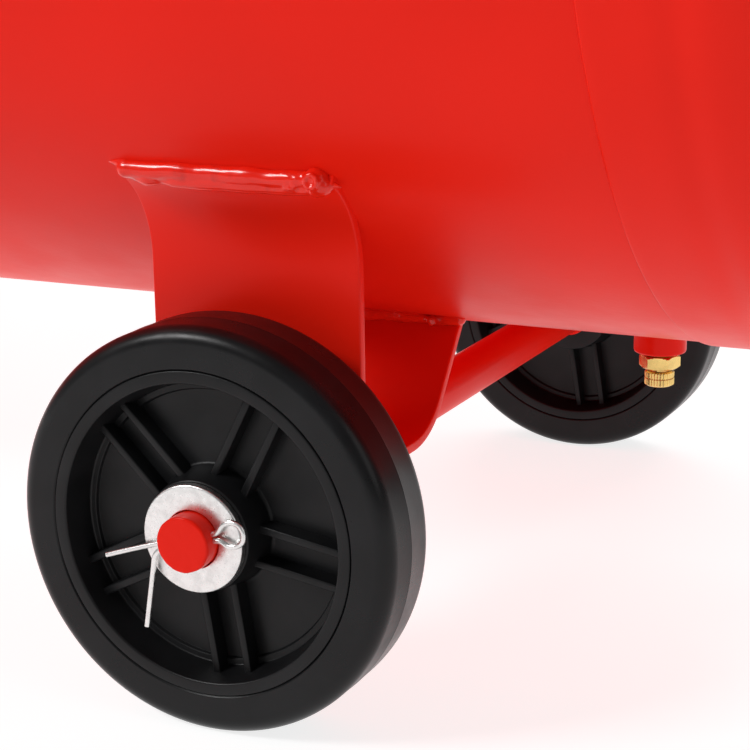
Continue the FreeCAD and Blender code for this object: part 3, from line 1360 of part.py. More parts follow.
def copper_pipes():
    """The crossover and discharge pipes of the pump and the thin unloader tube."""
    def port(bank, lateral, out):
        dx, dz = bank_point(bank, PLATE_TOP + 8, lateral * out)
        return (PUMP_X + dx, BANK_STEP * bank, CRANK_Z + dz)

    bridge_half = 62.0
    right = port(1, 1, 46)
    bridge_z = right[2] + (right[0] - PUMP_X - bridge_half)
    crossover = bent_tube("crossover_pipe", [
        right, (PUMP_X + bridge_half, BANK_STEP, bridge_z),
        (PUMP_X - bridge_half, -BANK_STEP, bridge_z), port(-1, 1, 46)], 6, 22, wall=1)
    bend = port(-1, -1, 46)
    discharge = bent_tube("discharge_run", [
        bend, (CHECK_X, -BANK_STEP, bend[2] - (bend[0] - CHECK_X)),
        (CHECK_X, -BANK_STEP, TANK_TOP + 62)], 6, 22, wall=1)
    unloader = bent_tube("unloader_run", [
        (CHECK_X, -BANK_STEP + 13, TANK_TOP + 34), (CHECK_X, 42, TANK_TOP + 34),
        (CONTROL_X + 20, 42, TANK_TOP + 34), (CONTROL_X + 20, 42, UNLOADER_Z),
        (CONTROL_X + 20, 29.5, UNLOADER_Z)], 3, 10, wall=0.8)
    return node(group("copper_pipes", crossover, discharge, unloader))


def check_valve():
    base = TANK_TOP + 8.1
    at = (CHECK_X, -BANK_STEP, base)
    thread = cylinder("check_thread", 8.2, 12, (CHECK_X, -BANK_STEP, base - 12))
    low_hex = hexagon("check_hex", 26, 16, at)
    tower = cylinder("check_tower", 10.5, 38, at)
    nut = hexagon("check_nut", 22, 12, (CHECK_X, -BANK_STEP, base + 38))
    port_stub = cylinder("check_port", 5, 22, (CHECK_X, -BANK_STEP, TANK_TOP + 34), Y)
    flow = cylinder("check_flow", 6.1, 60, (CHECK_X, -BANK_STEP, base + 10))
    side_flow = cylinder("check_side_flow", 3.1, 30, (CHECK_X, -BANK_STEP + 8, TANK_TOP + 34), Y)
    stock = fuse("check_stock", thread, low_hex, tower, nut, port_stub)
    return node(cut("check_valve", stock, flow, side_flow))


def manifold():
    """The riser and the distribution bar that carries the switch, gauge and valves."""
    riser = cylinder("riser", 8.2, BAR_LOW - 584, (CONTROL_X, 0, 586))
    nut = hexagon("riser_nut", 26, 14, (CONTROL_X, 0, TANK_TOP + 8.1))
    thick = cylinder("riser_sleeve", 11, BAR_LOW - 616, (CONTROL_X, 0, 616))
    bar = box("bar", (110, BAR_SIZE, BAR_SIZE), (CONTROL_X, 0, BAR_LOW))
    neck = cylinder("bar_neck", 8, 14, (CONTROL_X, 0, BAR_LOW + BAR_SIZE - 1))
    nipple = cylinder("regulator_nipple", 7, 26, (CONTROL_X + 35, -14, BAR_LOW + 15), (0, -1, 0))
    soft = rounded("bar_soft", bar, 2.5, lambda e: e.Length > 20)
    return node(fuse("manifold", riser, nut, thick, soft, neck, nipple))



def pressure_switch():
    base = box("switch_base", (78, 64, 8), (CONTROL_X, 0, SWITCH_LOW))
    lid = box("switch_lid", (72, 58, 74), (CONTROL_X, 0, SWITCH_LOW + 8))
    soft = rounded("switch_lid_soft", lid, 6, lambda e: e.BoundBox.ZMax > SWITCH_LOW + 20)
    room = box("switch_room", (66, 52, 69), (CONTROL_X, 0, SWITCH_LOW + 9))
    hole = cylinder("switch_button_hole", 6.1, 30, (CONTROL_X, 0, SWITCH_LOW + 60))
    pieces = [soft, base]
    bores = [room, hole]
    outward = (-1, 0, 0)
    for i, y in enumerate((-15, 15)):
        at = (CONTROL_X - 35.5, y, SWITCH_LOW + 26)
        inside = (CONTROL_X - 25, y, SWITCH_LOW + 26)
        pieces.append(hexagon("switch_gland_%d" % i, 18, 7, at, outward))
        pieces.append(cylinder("switch_gland_cap_%d" % i, 7.5, 17, at, outward))
        bores.append(cylinder("switch_gland_bore_%d" % i, 4, 40, inside, outward))
    port_hole = cylinder("switch_port_hole", 3.1, 12, (CONTROL_X + 20, 22, UNLOADER_Z), Y)
    node(cut("pressure_switch", fuse("switch_stock", *pieces), *(bores + [port_hole])))
    stem = cylinder("button_stem", 6, 22, (CONTROL_X, 0, SWITCH_LOW + 68))
    cap = cylinder("button_cap", 12, 12, (CONTROL_X, 0, SWITCH_LOW + 83))
    soft_cap = rounded("button_cap_soft", cap, 2, lambda e: e.Curve.TypeId == "Part::GeomCircle")
    node(fuse("pressure_switch_knob", stem, soft_cap))


def safety_valve():
    middle = BAR_LOW + BAR_SIZE / 2
    face = CONTROL_X - 55
    nut = hexagon("safety_hex", 17, 10, (face, 0, middle), (-1, 0, 0))
    barrel = cylinder("safety_barrel", 7.5, 34, (face, 0, middle), (-1, 0, 0))
    bore = cylinder("safety_bore", 1.6, 30, (face - 12, 0, middle), (-1, 0, 0))
    node(cut("safety_valve", fuse("safety_stock", nut, barrel), bore))
    stem = cylinder("ring_stem", 1.5, 24, (face - 14, 0, middle), (-1, 0, 0))
    loop = ring("ring_loop", 9, 1.3, (face - 46, 0, middle), Y)
    node(fuse("safety_valve_ring", stem, loop))


def gauge(name, x, back, radius, middle):
    """A pressure gauge that faces -Y, open at the front over its dial."""
    stem = hexagon(name + "_hex", 12, 12, (x, back, middle), (0, -1, 0))
    case = cylinder(name + "_case", radius, 24, (x, back - 11, middle), (0, -1, 0))
    front = back - 35
    well = cylinder(name + "_well", size(radius) - 2.5, 6, (x, front - 0.01, middle), Y)
    peg = cylinder(name + "_peg", 1.2, 4, (x, front + 7, middle), (0, -1, 0))
    return fuse(name, cut(name + "_cup", fuse(name + "_stock", stem, case), well), peg)


def needle(name, x, back, length, middle, start):
    """A gauge needle at its zero mark, on its own small boss."""
    front = back - 35
    boss = cylinder(name + "_boss", 2.6, 1.6, (x, front + 3.2, middle), (0, -1, 0))
    blade = doc.addObject("Part::Wedge", name + "_blade")
    turn = turn_about(Y, start)
    root_half, tip_half, thick = 1.4, 0.3, 0.8
    sizes = (("Xmin", -root_half), ("Xmax", root_half), ("X2min", -tip_half), ("X2max", tip_half),
             ("Ymin", 0), ("Ymax", length), ("Zmin", 0), ("Zmax", thick),
             ("Z2min", 0), ("Z2max", thick))
    for prop, value in sizes:
        setattr(blade, prop, value)
    lay = FreeCAD.Rotation(V(*X), 90)
    blade.Placement = FreeCAD.Placement(V(size(x).number, (front + 2.6), size(middle).number),
                                        turn * lay)
    bore = cylinder(name + "_bore", 1.26, 20, (x, front - 4, middle), Y)
    return node(cut(name, fuse(name + "_stock", boss, blade), bore))


REGULATOR_Y = -59.0


def regulator():
    x, middle = CONTROL_X + 35, BAR_LOW + BAR_SIZE / 2
    bowl = cylinder("regulator_bowl", 20, 58, (x, REGULATOR_Y, BAR_LOW - 8))
    soft = rounded("regulator_bowl_soft", bowl, 3, lambda e: e.Curve.TypeId == "Part::GeomCircle")
    bonnet = cylinder("regulator_bonnet", 15, 64, (x, REGULATOR_Y, BAR_LOW - 8))
    inlet = cylinder("regulator_inlet", 7.05, 12, (x, REGULATOR_Y + 19 - 0.5, middle), Y)
    bore = cylinder("regulator_bore", 5.05, 20, (x, REGULATOR_Y, BAR_LOW + 40))
    mouth = cylinder("regulator_mouth", 7.05, 14, (x, REGULATOR_Y + 32, middle), (0, -1, 0))
    node(cut("regulator_body", fuse("regulator_stock", soft, bonnet, inlet), bore, mouth))
    knob_low = BAR_LOW + 57
    grip = body("regulator_grip")
    section = disc(grip, "grip_disc", "XY_Plane", 19)
    pad(grip, section, 30)
    notch = disc(grip, "grip_notch", "XY_Plane", 2.2, (20, 0), lift=-1)
    nick = pocket(grip, notch, 28, back=True)
    repeat_round(grip, [nick], "Z_Axis", 20)
    place(grip, (x, REGULATOR_Y, knob_low))
    stem = cylinder("regulator_stem", 5, 18, (x, REGULATOR_Y, knob_low - 15))
    node(fuse("regulator_knob", grip, stem))


def ball_valve():
    x, middle = CONTROL_X + 55.3, BAR_LOW + BAR_SIZE / 2
    entry = hexagon("ball_entry", 20, 12, (x, REGULATOR_Y, middle), X)
    barrel = cylinder("ball_barrel", 11.5, 34, (x + 8, REGULATOR_Y, middle), X)
    exit_hex = hexagon("ball_exit", 20, 10, (x + 36, REGULATOR_Y, middle), X)
    thread = cylinder("ball_thread", 6.6, 14, (x + 45, REGULATOR_Y, middle), X)
    tower = cylinder("ball_tower", 6.5, 16, (x + 25, REGULATOR_Y, middle))
    stem_bore = cylinder("ball_stem_bore", 3.06, 24, (x + 25, REGULATOR_Y, middle))
    flow = cylinder("ball_flow", 3.5, 80, (x - 5, REGULATOR_Y, middle), X)
    stock = fuse("ball_stock", entry, barrel, exit_hex, thread, tower)
    node(cut("ball_valve_body", stock, stem_bore, flow))
    stem = cylinder("lever_stem", 3, 14, (x + 25, REGULATOR_Y, middle + 6))
    boss = cylinder("lever_boss", 8, 3, (x + 25, REGULATOR_Y, middle + 16.4))
    arm = box("lever_arm", (60, 12, 3), (x + 25 + 30, REGULATOR_Y, middle + 16.4))
    node(fuse("ball_valve_lever", stem, boss, arm))


# ---------------------------------------------------------------- build and write

def build():
    tank_shell()
    half_turn = turn_about(Z, 180)
    heads = [dished_head("wheel_end_head", (TANK_X + HALF_SHELL, 0, TANK_Z), FreeCAD.Rotation()),
             dished_head("handle_end_head", (TANK_X - HALF_SHELL, 0, TANK_Z), half_turn)]
    tank_bosses(heads)
    inspection_plugs()
    for name, side in (("near", 1), ("far", -1)):
        tyre(name + "_tyre", side)
        wheel_hub(name + "_wheel_hub", side)
    axle_bar()
    axle_washers()
    split_pins()
    near = wheel_bracket()
    node(group("wheel_brackets", near, mirrored("far_wheel_bracket", near)))
    foot = foot_bracket()
    rubber_feet()
    bar = handle()
    weld_beads(near, foot, bar)
    drain_valve()
    platform()
    pump()
    hex_bolts()
    flywheel()
    motor_pulley()
    v_belt()
    guard_slots(belt_guard())
    motor()
    copper_pipes()
    check_valve()
    manifold()
    pressure_switch()
    safety_valve()
    gauge_mid = BAR_LOW + BAR_SIZE / 2
    tank_dial = gauge("tank_gauge", CONTROL_X - 33, size(-15.1), dim("gauge_radius"), gauge_mid)
    outlet_dial = gauge("outlet_gauge", CONTROL_X + 35, size(REGULATOR_Y - 20.1), 20, gauge_mid)
    node(group("pressure_gauges", tank_dial, outlet_dial))
    needle("tank_gauge_needle", CONTROL_X - 33, -15.1, 18, gauge_mid, -135)
    needle("outlet_gauge_needle", CONTROL_X + 35, REGULATOR_Y - 20.1, 13, gauge_mid, -135)
    regulator()
    ball_valve()


def write():
    """Check every object, then write each piece to its own file."""
    doc.recompute()
    broken = [o.Name for o in doc.Objects if "Invalid" in o.State or "Error" in o.State]
    for label, item in nodes.items():
        if item.Shape.isNull() or not item.Shape.isValid() or not item.Shape.Solids:
            broken.append(label)
    if broken:
        raise RuntimeError("failed objects: %s" % ", ".join(broken))
    os.makedirs("parts", exist_ok=True)
    for old in os.listdir("parts"):
        os.remove(os.path.join("parts", old))
    for label, item in nodes.items():
        item.Shape.exportStep("parts/%s.step" % label)
    print("%d pieces" % len(nodes))


build()
write()
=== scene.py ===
"""The looks of a wheeled, belt driven air compressor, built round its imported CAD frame.

Lengths are in metres, +Z is up and the wheel end points along +X. The belt drive is at +Y.
"""
import json
import math
import random

import bmesh
import bpy
from mathutils import Matrix, Vector, noise


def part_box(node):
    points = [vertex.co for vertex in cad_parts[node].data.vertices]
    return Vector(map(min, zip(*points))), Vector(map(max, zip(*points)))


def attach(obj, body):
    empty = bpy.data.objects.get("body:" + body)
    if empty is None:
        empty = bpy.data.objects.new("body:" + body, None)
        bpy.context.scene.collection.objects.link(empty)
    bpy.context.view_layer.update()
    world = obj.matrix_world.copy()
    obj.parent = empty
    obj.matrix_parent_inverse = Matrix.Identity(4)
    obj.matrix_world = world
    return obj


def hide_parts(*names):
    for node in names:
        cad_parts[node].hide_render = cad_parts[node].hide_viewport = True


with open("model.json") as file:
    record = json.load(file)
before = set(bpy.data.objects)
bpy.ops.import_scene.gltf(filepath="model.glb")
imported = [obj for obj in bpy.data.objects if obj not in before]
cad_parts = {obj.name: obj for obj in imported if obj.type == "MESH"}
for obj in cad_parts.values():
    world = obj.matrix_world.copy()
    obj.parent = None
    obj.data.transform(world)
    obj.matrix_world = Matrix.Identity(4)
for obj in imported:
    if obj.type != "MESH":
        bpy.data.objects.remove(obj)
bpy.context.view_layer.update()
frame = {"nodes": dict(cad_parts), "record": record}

MM = 0.001
X, Y, Z = Vector((1, 0, 0)), Vector((0, 1, 0)), Vector((0, 0, 1))
ROOT = "compressor"


# ---------------------------------------------------------------- mesh helpers

def middle(node):
    """The middle of a CAD node's box."""
    low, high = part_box(node)
    return (low + high) / 2


def make_piece(name, points, faces, body=ROOT, slot=None, material=None, replaces=(), sharp=32):
    """A mesh object from points and faces, shaded smooth up to the sharp angle in degrees."""
    mesh = bpy.data.meshes.new(name)
    mesh.from_pydata([tuple(p) for p in points], [], faces)
    return finish_piece(name, mesh, body, material, replaces, sharp)


def finish_piece(name, mesh, body=ROOT, material=None, replaces=(), sharp=32):
    """Clean a mesh, make it an object and tie it to its body, material and CAD nodes."""
    work = bmesh.new()
    work.from_mesh(mesh)
    bmesh.ops.remove_doubles(work, verts=work.verts, dist=1e-7)
    bmesh.ops.dissolve_degenerate(work, edges=work.edges, dist=1e-7)
    bmesh.ops.recalc_face_normals(work, faces=work.faces)
    work.to_mesh(mesh)
    work.free()
    mesh.polygons.foreach_set("use_smooth", [True] * len(mesh.polygons))
    mesh.set_sharp_from_angle(angle=math.radians(sharp))
    piece = bpy.data.objects.new(name, mesh)
    bpy.context.scene.collection.objects.link(piece)
    if material:
        mesh.materials.clear()
        mesh.materials.append(material)
    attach(piece, body)
    if replaces:
        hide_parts(*replaces)
    return piece


def corner_arc(before, here, after, radius, steps):
    """The points of the arc that rounds a corner between two straight runs."""
    to_before = (before - here).normalized()
    to_after = (after - here).normalized()
    back = radius / math.tan(to_before.angle(to_after) / 2)
    centre = here + (to_before + to_after).normalized() * math.hypot(back, radius)
    start = here + to_before * back - centre
    sweep = start.angle_signed(here + to_after * back - centre)
    arc = []
    for k in range(steps + 1):
        arm = start.copy()
        arm.rotate(Matrix.Rotation(-sweep * k / steps, 2))
        arc.append(centre + arm)
    return arc


def rounded_outline(corners, steps=5):
    """A closed outline of (a, b, radius) corners with each corner turned into an arc."""
    outline = []
    count = len(corners)
    for i, (a, b, radius) in enumerate(corners):
        here = Vector((a, b))
        before = Vector(corners[i - 1][:2])
        after = Vector(corners[(i + 1) % count][:2])
        bend = (before - here).angle(after - here)
        if radius <= 0 or bend > math.pi - 0.01:
            outline.append((a, b))
            continue
        shorter_run = min((before - here).length, (after - here).length)
        back = min(radius / math.tan(bend / 2), 0.49 * shorter_run)
        arc = corner_arc(before, here, after, back * math.tan(bend / 2), steps)
        outline += [tuple(point) for point in arc]
    return outline


def axes_about(along):
    """Two unit vectors across a direction, with which they are right handed."""
    along = Vector(along).normalized()
    side = along.cross(Z if abs(along.z) < 0.9 else X).normalized()
    return side, along.cross(side), along


def lathe(outline, centre, along=Y, steps=96):
    """Points and faces of a closed (radius, distance) outline turned about an axis."""
    side, up, along = axes_about(along)
    centre = Vector(centre)
    points, faces = [], []
    for k in range(steps):
        angle = 2 * math.pi * k / steps
        out = side * math.cos(angle) + up * math.sin(angle)
        points += [centre + out * radius + along * distance for radius, distance in outline]
    count = len(outline)
    for k in range(steps):
        here, there = k * count, (k + 1) % steps * count
        for i in range(count):
            j = (i + 1) % count
            faces.append((here + i, here + j, there + j, there + i))
    return points, faces


def turned(levels, radius_at, centre, steps):
    """A capped upright solid whose radius depends on the angle and on the height."""
    side, up, along = axes_about(Z)
    centre = Vector(centre)
    points, faces = [], []
    for level in levels:
        for k in range(steps):
            angle = 2 * math.pi * k / steps
            out = side * math.cos(angle) + up * math.sin(angle)
            points.append(centre + out * radius_at(angle, level) + along * level)
    for row in range(len(levels) - 1):
        for k in range(steps):
            a, b = row * steps + k, row * steps + (k + 1) % steps
            faces.append((a, b, b + steps, a + steps))
    last = (len(levels) - 1) * steps
    faces.append(tuple(range(steps - 1, -1, -1)))
    faces.append(tuple(range(last, last + steps)))
    return points, faces


def joined(*parts):
    """Several (points, faces) pairs as one."""
    points, faces = [], []
    for more_points, more_faces in parts:
        shift = len(points)
        points += list(more_points)
        faces += [tuple(i + shift for i in face) for face in more_faces]
    return points, faces


def mirrored(part):
    """The same points and faces on the other side of the object's middle plane, y = 0."""
    points, faces = part
    flipped = [Vector(p) for p in points]
    for p in flipped:
        p.y = -p.y
    return flipped, [tuple(reversed(face)) for face in faces]


def rounded_bar(lengths, bevel, place):
    """A box with rounded edges, as points and faces, moved by a matrix."""
    work = bmesh.new()
    bmesh.ops.create_cube(work, size=1.0, matrix=Matrix.Diagonal((*lengths, 1)))
    bmesh.ops.bevel(work, geom=work.edges[:], offset=bevel, segments=3, profile=0.5,
                    affect="EDGES", clamp_overlap=True)
    work.transform(place)
    work.verts.index_update()
    part = [v.co.copy() for v in work.verts], [tuple(v.index for v in f.verts) for f in work.faces]
    work.free()
    return part


def wire(points, radius):
    """A round wire along a smooth line, as points and faces."""
    curve = bpy.data.curves.new("wire", "CURVE")
    curve.dimensions = "3D"
    curve.bevel_depth = radius
    curve.bevel_resolution = 5
    curve.resolution_u = 10
    curve.use_fill_caps = True
    spline = curve.splines.new("NURBS")
    spline.points.add(len(points) - 1)
    for control, point in zip(spline.points, points):
        control.co = (*point, 1.0)
    spline.order_u = 3
    spline.use_endpoint_u = True
    holder = bpy.data.objects.new("wire", curve)
    mesh = bpy.data.meshes.new_from_object(holder)
    part = [v.co.copy() for v in mesh.vertices], [tuple(f.vertices) for f in mesh.polygons]
    bpy.data.objects.remove(holder)
    bpy.data.curves.remove(curve)
    bpy.data.meshes.remove(mesh)
    return part


# ---------------------------------------------------------------- materials

class Finish:
    """One procedural material: a Principled surface with helpers for its patterns."""

    def __init__(self, name, colour, roughness, metallic=0.0, **sockets):
        self.material = bpy.data.materials.new(name)
        self.material.use_nodes = True
        self.nodes = self.material.node_tree.nodes
        self.links = self.material.node_tree.links
        self.surface = self.nodes["Principled BSDF"]
        self.where = self.nodes.new("ShaderNodeTexCoord").outputs["Object"]
        self.bump_out = None
        self.set(**{"Base Color": (*colour, 1), "Roughness": roughness, "Metallic": metallic})
        self.set(**{key.replace("_", " "): value for key, value in sockets.items()})

    def set(self, **sockets):
        for name, value in sockets.items():
            self.surface.inputs[name].default_value = value

    def add(self, kind, **values):
        node = self.nodes.new("ShaderNode" + kind)
        for name, value in values.items():
            if hasattr(node, name):
                setattr(node, name, value)
            else:
                node.inputs[name].default_value = value
        return node

    def stretched(self, scale):
        """The place on the object, scaled differently along each axis."""
        mapping = self.add("Mapping", Scale=scale)
        self.links.new(self.where, mapping.inputs["Vector"])
        return mapping.outputs["Vector"]

    def grain(self, scale, detail=3.0, rough=0.55, where=None):
        texture = self.add("TexNoise", Scale=scale, Detail=detail, Roughness=rough)
        self.links.new(where or self.where, texture.inputs["Vector"])
        return texture.outputs["Fac"]

    def cells(self, scale):
        texture = self.add("TexVoronoi", Scale=scale)
        self.links.new(self.where, texture.inputs["Vector"])
        return texture.outputs["Distance"]

    def spread(self, value, low, high, out_low, out_high):
        """Map a value from one range to another, held at both ends."""
        ranged = self.add("MapRange")
        ranged.clamp = True
        limits = {"From Min": low, "From Max": high, "To Min": out_low, "To Max": out_high}
        for name, number in limits.items():
            ranged.inputs[name].default_value = number
        self.links.new(value, ranged.inputs["Value"])
        return ranged.outputs["Result"]

    def tint(self, value, other):
        """Mix the colour so far towards another one where the value is high."""
        mix = self.add("Mix", data_type="RGBA")
        before = self.surface.inputs["Base Color"]
        if before.is_linked:
            self.links.new(before.links[0].from_socket, mix.inputs[6])
        else:
            mix.inputs[6].default_value = before.default_value
        mix.inputs[7].default_value = (*other, 1)
        self.links.new(value, mix.inputs[0])
        self.links.new(mix.outputs[2], before)

    def rough(self, value, low, high):
        """Let the roughness follow a pattern between two limits."""
        self.links.new(self.spread(value, 0.3, 0.7, low, high), self.surface.inputs["Roughness"])

    def bump(self, value, height):
        """Add one layer of relief, with its height in metres."""
        node = self.add("Bump", Strength=1.0, Distance=height)
        self.links.new(value, node.inputs["Height"])
        if self.bump_out:
            self.links.new(self.bump_out, node.inputs["Normal"])
        self.bump_out = node.outputs["Normal"]
        self.links.new(self.bump_out, self.surface.inputs["Normal"])


def red_paint():
    """Satin powder coat with orange peel and slight unevenness of the sheet below."""
    finish = Finish("red_paint", (0.82, 0.013, 0.004), 0.34, Coat_Weight=0.03, Coat_Roughness=0.15,
                    Specular_IOR_Level=0.1)
    finish.tint(finish.spread(finish.grain(7.0, 2.0), 0.35, 0.7, 0, 1), (0.74, 0.011, 0.003))
    finish.tint(finish.spread(finish.cells(240.0), 0.0, 0.035, 0.6, 0), (0.30, 0.012, 0.006))
    finish.rough(finish.grain(32.0), 0.30, 0.40)
    finish.bump(finish.grain(5.0, 1.0), 0.0022)
    finish.bump(finish.grain(430.0, 2.0), 0.000035)
    return finish.material


def weld_paint():
    """The same paint run thick and glossy over a weld bead."""
    finish = Finish("thick_red_paint", (0.78, 0.015, 0.005), 0.25, Coat_Weight=0.35, Coat_Roughness=0.09,
                    Specular_IOR_Level=0.2)
    finish.tint(finish.spread(finish.grain(110.0), 0.56, 0.76, 0, 1), (0.58, 0.011, 0.004))
    finish.rough(finish.grain(160.0), 0.14, 0.26)
    finish.bump(finish.grain(260.0, 2.0), 0.00010)
    return finish.material


def moulded(name, colour, low, high, grain_height=0.00003, scale=1500.0):
    """Moulded rubber or plastic with a fine grain and cloudy sheen."""
    finish = Finish(name, colour, low, Specular_IOR_Level=0.22)
    finish.tint(finish.spread(finish.grain(45.0), 0.4, 0.7, 0, 1), tuple(c * 1.7 for c in colour))
    finish.rough(finish.grain(60.0, 4.0), low, high)
    finish.bump(finish.grain(scale, 2.0), grain_height)
    return finish.material


def plated(name, colour, low, high):
    """Bright zinc with fine spangle, pits and faint rubbing marks."""
    finish = Finish(name, colour, low, metallic=1.0)
    finish.tint(finish.spread(finish.cells(1300.0), 0.0, 0.25, 0.85, 0), tuple(c * 0.42 for c in colour))
    finish.tint(finish.spread(finish.grain(220.0, 4.0), 0.45, 0.75, 0, 1), tuple(c * 0.80 for c in colour))
    finish.rough(finish.grain(500.0, 4.0), low, high)
    finish.bump(finish.grain(1400.0, 4.0), 0.00005)
    return finish.material


def turned_metal(name, colour, low, high):
    """Machined metal with fine tool marks and slight staining."""
    finish = Finish(name, colour, low, metallic=1.0)
    finish.tint(finish.spread(finish.grain(90.0, 4.0), 0.45, 0.8, 0, 1), tuple(c * 0.62 for c in colour))
    finish.rough(finish.grain(260.0, 3.0), low, high)
    finish.bump(finish.grain(1.0, 2.0, where=finish.stretched((300.0, 300.0, 3800.0))), 0.00002)
    return finish.material


def cast(name, colour, metallic, low, high):
    """Sand casting: coarse skin, cloudy colour."""
    finish = Finish(name, colour, low, metallic=metallic)
    finish.tint(finish.spread(finish.grain(30.0, 5.0), 0.4, 0.75, 0, 1), tuple(c * 0.6 for c in colour))
    finish.rough(finish.grain(120.0, 5.0), low, high)
    finish.bump(finish.grain(700.0, 6.0, 0.7), 0.00022)
    finish.bump(finish.cells(520.0), 0.00012)
    return finish.material


def sprayed(name, colour, low, high):
    """Sprayed enamel with orange peel and a little dust."""
    finish = Finish(name, colour, low, Coat_Weight=0.15, Coat_Roughness=0.2)
    dusty = tuple(min(1, c * 1.35 + 0.006) for c in colour)
    finish.tint(finish.spread(finish.grain(60.0, 5.0), 0.5, 0.8, 0, 1), dusty)
    finish.rough(finish.grain(40.0), low, high)
    finish.bump(finish.grain(520.0, 2.0), 0.00004)
    return finish.material


def ribbed_fabric():
    """The wrapped cloth of a V belt."""
    finish = Finish("belt_fabric", (0.022, 0.021, 0.020), 0.75)
    finish.tint(finish.spread(finish.grain(80.0), 0.45, 0.7, 0, 1), (0.045, 0.042, 0.038))
    finish.rough(finish.grain(200.0), 0.65, 0.85)
    finish.bump(finish.cells(900.0), 0.0003)
    return finish.material


def clear(name, colour):
    """Glass or clear plastic with slightly smeared gloss."""
    finish = Finish(name, colour, 0.02, Transmission_Weight=1.0, IOR=1.47)
    finish.rough(finish.grain(90.0), 0.02, 0.07)
    return finish.material


def dial_white():
    """The matt white sheet of a gauge face."""
    finish = Finish("dial_white", (0.86, 0.86, 0.83), 0.45)
    finish.tint(finish.spread(finish.grain(140.0), 0.4, 0.8, 0, 1), (0.80, 0.79, 0.75))
    finish.rough(finish.grain(300.0), 0.4, 0.5)
    return finish.material


MATERIALS = {
    "red_paint": red_paint(),
    "thick_paint": weld_paint(),
    "black_plastic": moulded("black_plastic", (0.0055, 0.0055, 0.006), 0.32, 0.44),
    "tyre_rubber": moulded("tyre_rubber", (0.0045, 0.0045, 0.005), 0.24, 0.36, 0.00002),
    "rubber": moulded("rubber", (0.018, 0.018, 0.018), 0.6, 0.75, 0.00006, 900.0),
    "zinc_steel": plated("zinc_steel", (0.80, 0.80, 0.79), 0.24, 0.38),
    "machined_steel": turned_metal("machined_steel", (0.52, 0.52, 0.52), 0.25, 0.4),
    "brass": turned_metal("brass", (0.88, 0.62, 0.22), 0.16, 0.3),
    "copper": turned_metal("copper", (0.86, 0.42, 0.26), 0.2, 0.36),
    "cast_iron": cast("cast_iron", (0.022, 0.023, 0.026), 0.0, 0.45, 0.6),
    "cast_aluminium": cast("cast_aluminium", (0.66, 0.67, 0.68), 1.0, 0.36, 0.52),
    "black_paint": sprayed("black_paint", (0.012, 0.012, 0.013), 0.32, 0.42),
    "grey_paint": sprayed("grey_paint", (0.20, 0.21, 0.22), 0.34, 0.46),
    "gauge_face": dial_white(),
    "sight_glass": clear("sight_glass", (0.93, 0.86, 0.55)),
    "lens": clear("lens", (0.97, 0.98, 0.98)),
    "red_plastic": moulded("red_plastic", (0.62, 0.014, 0.008), 0.2, 0.3, 0.00001),
    "filter_plastic": moulded("filter_plastic", (0.014, 0.014, 0.014), 0.45, 0.6, 0.00006, 1100.0),
    "belt": ribbed_fabric(),
}


# ---------------------------------------------------------------- CAD nodes that stay

def dress(node, slot, edge):
    """Give a CAD node its material and rounded edges, without moving any of its points."""
    join_within, flat_within, bevel_over = 0.002 * MM, math.radians(0.4), math.radians(38)
    piece = frame["nodes"][node]
    mesh = piece.data
    mesh.materials.clear()
    mesh.materials.append(MATERIALS["belt" if node == "v_belt" else slot])
    mesh.polygons.foreach_set("use_smooth", [True] * len(mesh.polygons))
    custom = mesh.attributes.get("custom_normal")
    if custom:
        mesh.attributes.remove(custom)
    weld = piece.modifiers.new("join_faces", "WELD")
    weld.merge_threshold = join_within
    flat = piece.modifiers.new("flat_faces", "DECIMATE")
    flat.decimate_type = "DISSOLVE"
    flat.angle_limit = flat_within
    bevel = piece.modifiers.new("soft_edges", "BEVEL")
    bevel.width = edge
    bevel.segments = 2
    bevel.limit_method = "ANGLE"
    bevel.angle_limit = bevel_over
    shade = piece.modifiers.new("even_shading", "WEIGHTED_NORMAL")
    shade.keep_sharp = False


EDGE = 0.5 * MM
EDGES = {"platform": 0.8 * MM, "foot_bracket": 0.8 * MM, "crankcase": 1.2 * MM, "crankcase_cover": 1.0 * MM,
         "cylinder_heads": 0.6 * MM, "cylinders": 0.5 * MM, "tank_bosses": 1.0 * MM,
         "flywheel": 1.0 * MM, "motor_frame": 0.6 * MM, "hex_bolts": 0.35 * MM,
         "tank_gauge_needle": 0.05 * MM, "outlet_gauge_needle": 0.05 * MM,
         "safety_valve_ring": 0.1 * MM, "drain_valve_body": 0.3 * MM}


# ---------------------------------------------------------------- tank

BAND = 28 * MM
KNUCKLE = 74 * MM
CROWN = 382 * MM
TANK_SHEET = 4 * MM
TANK_STEPS = 288


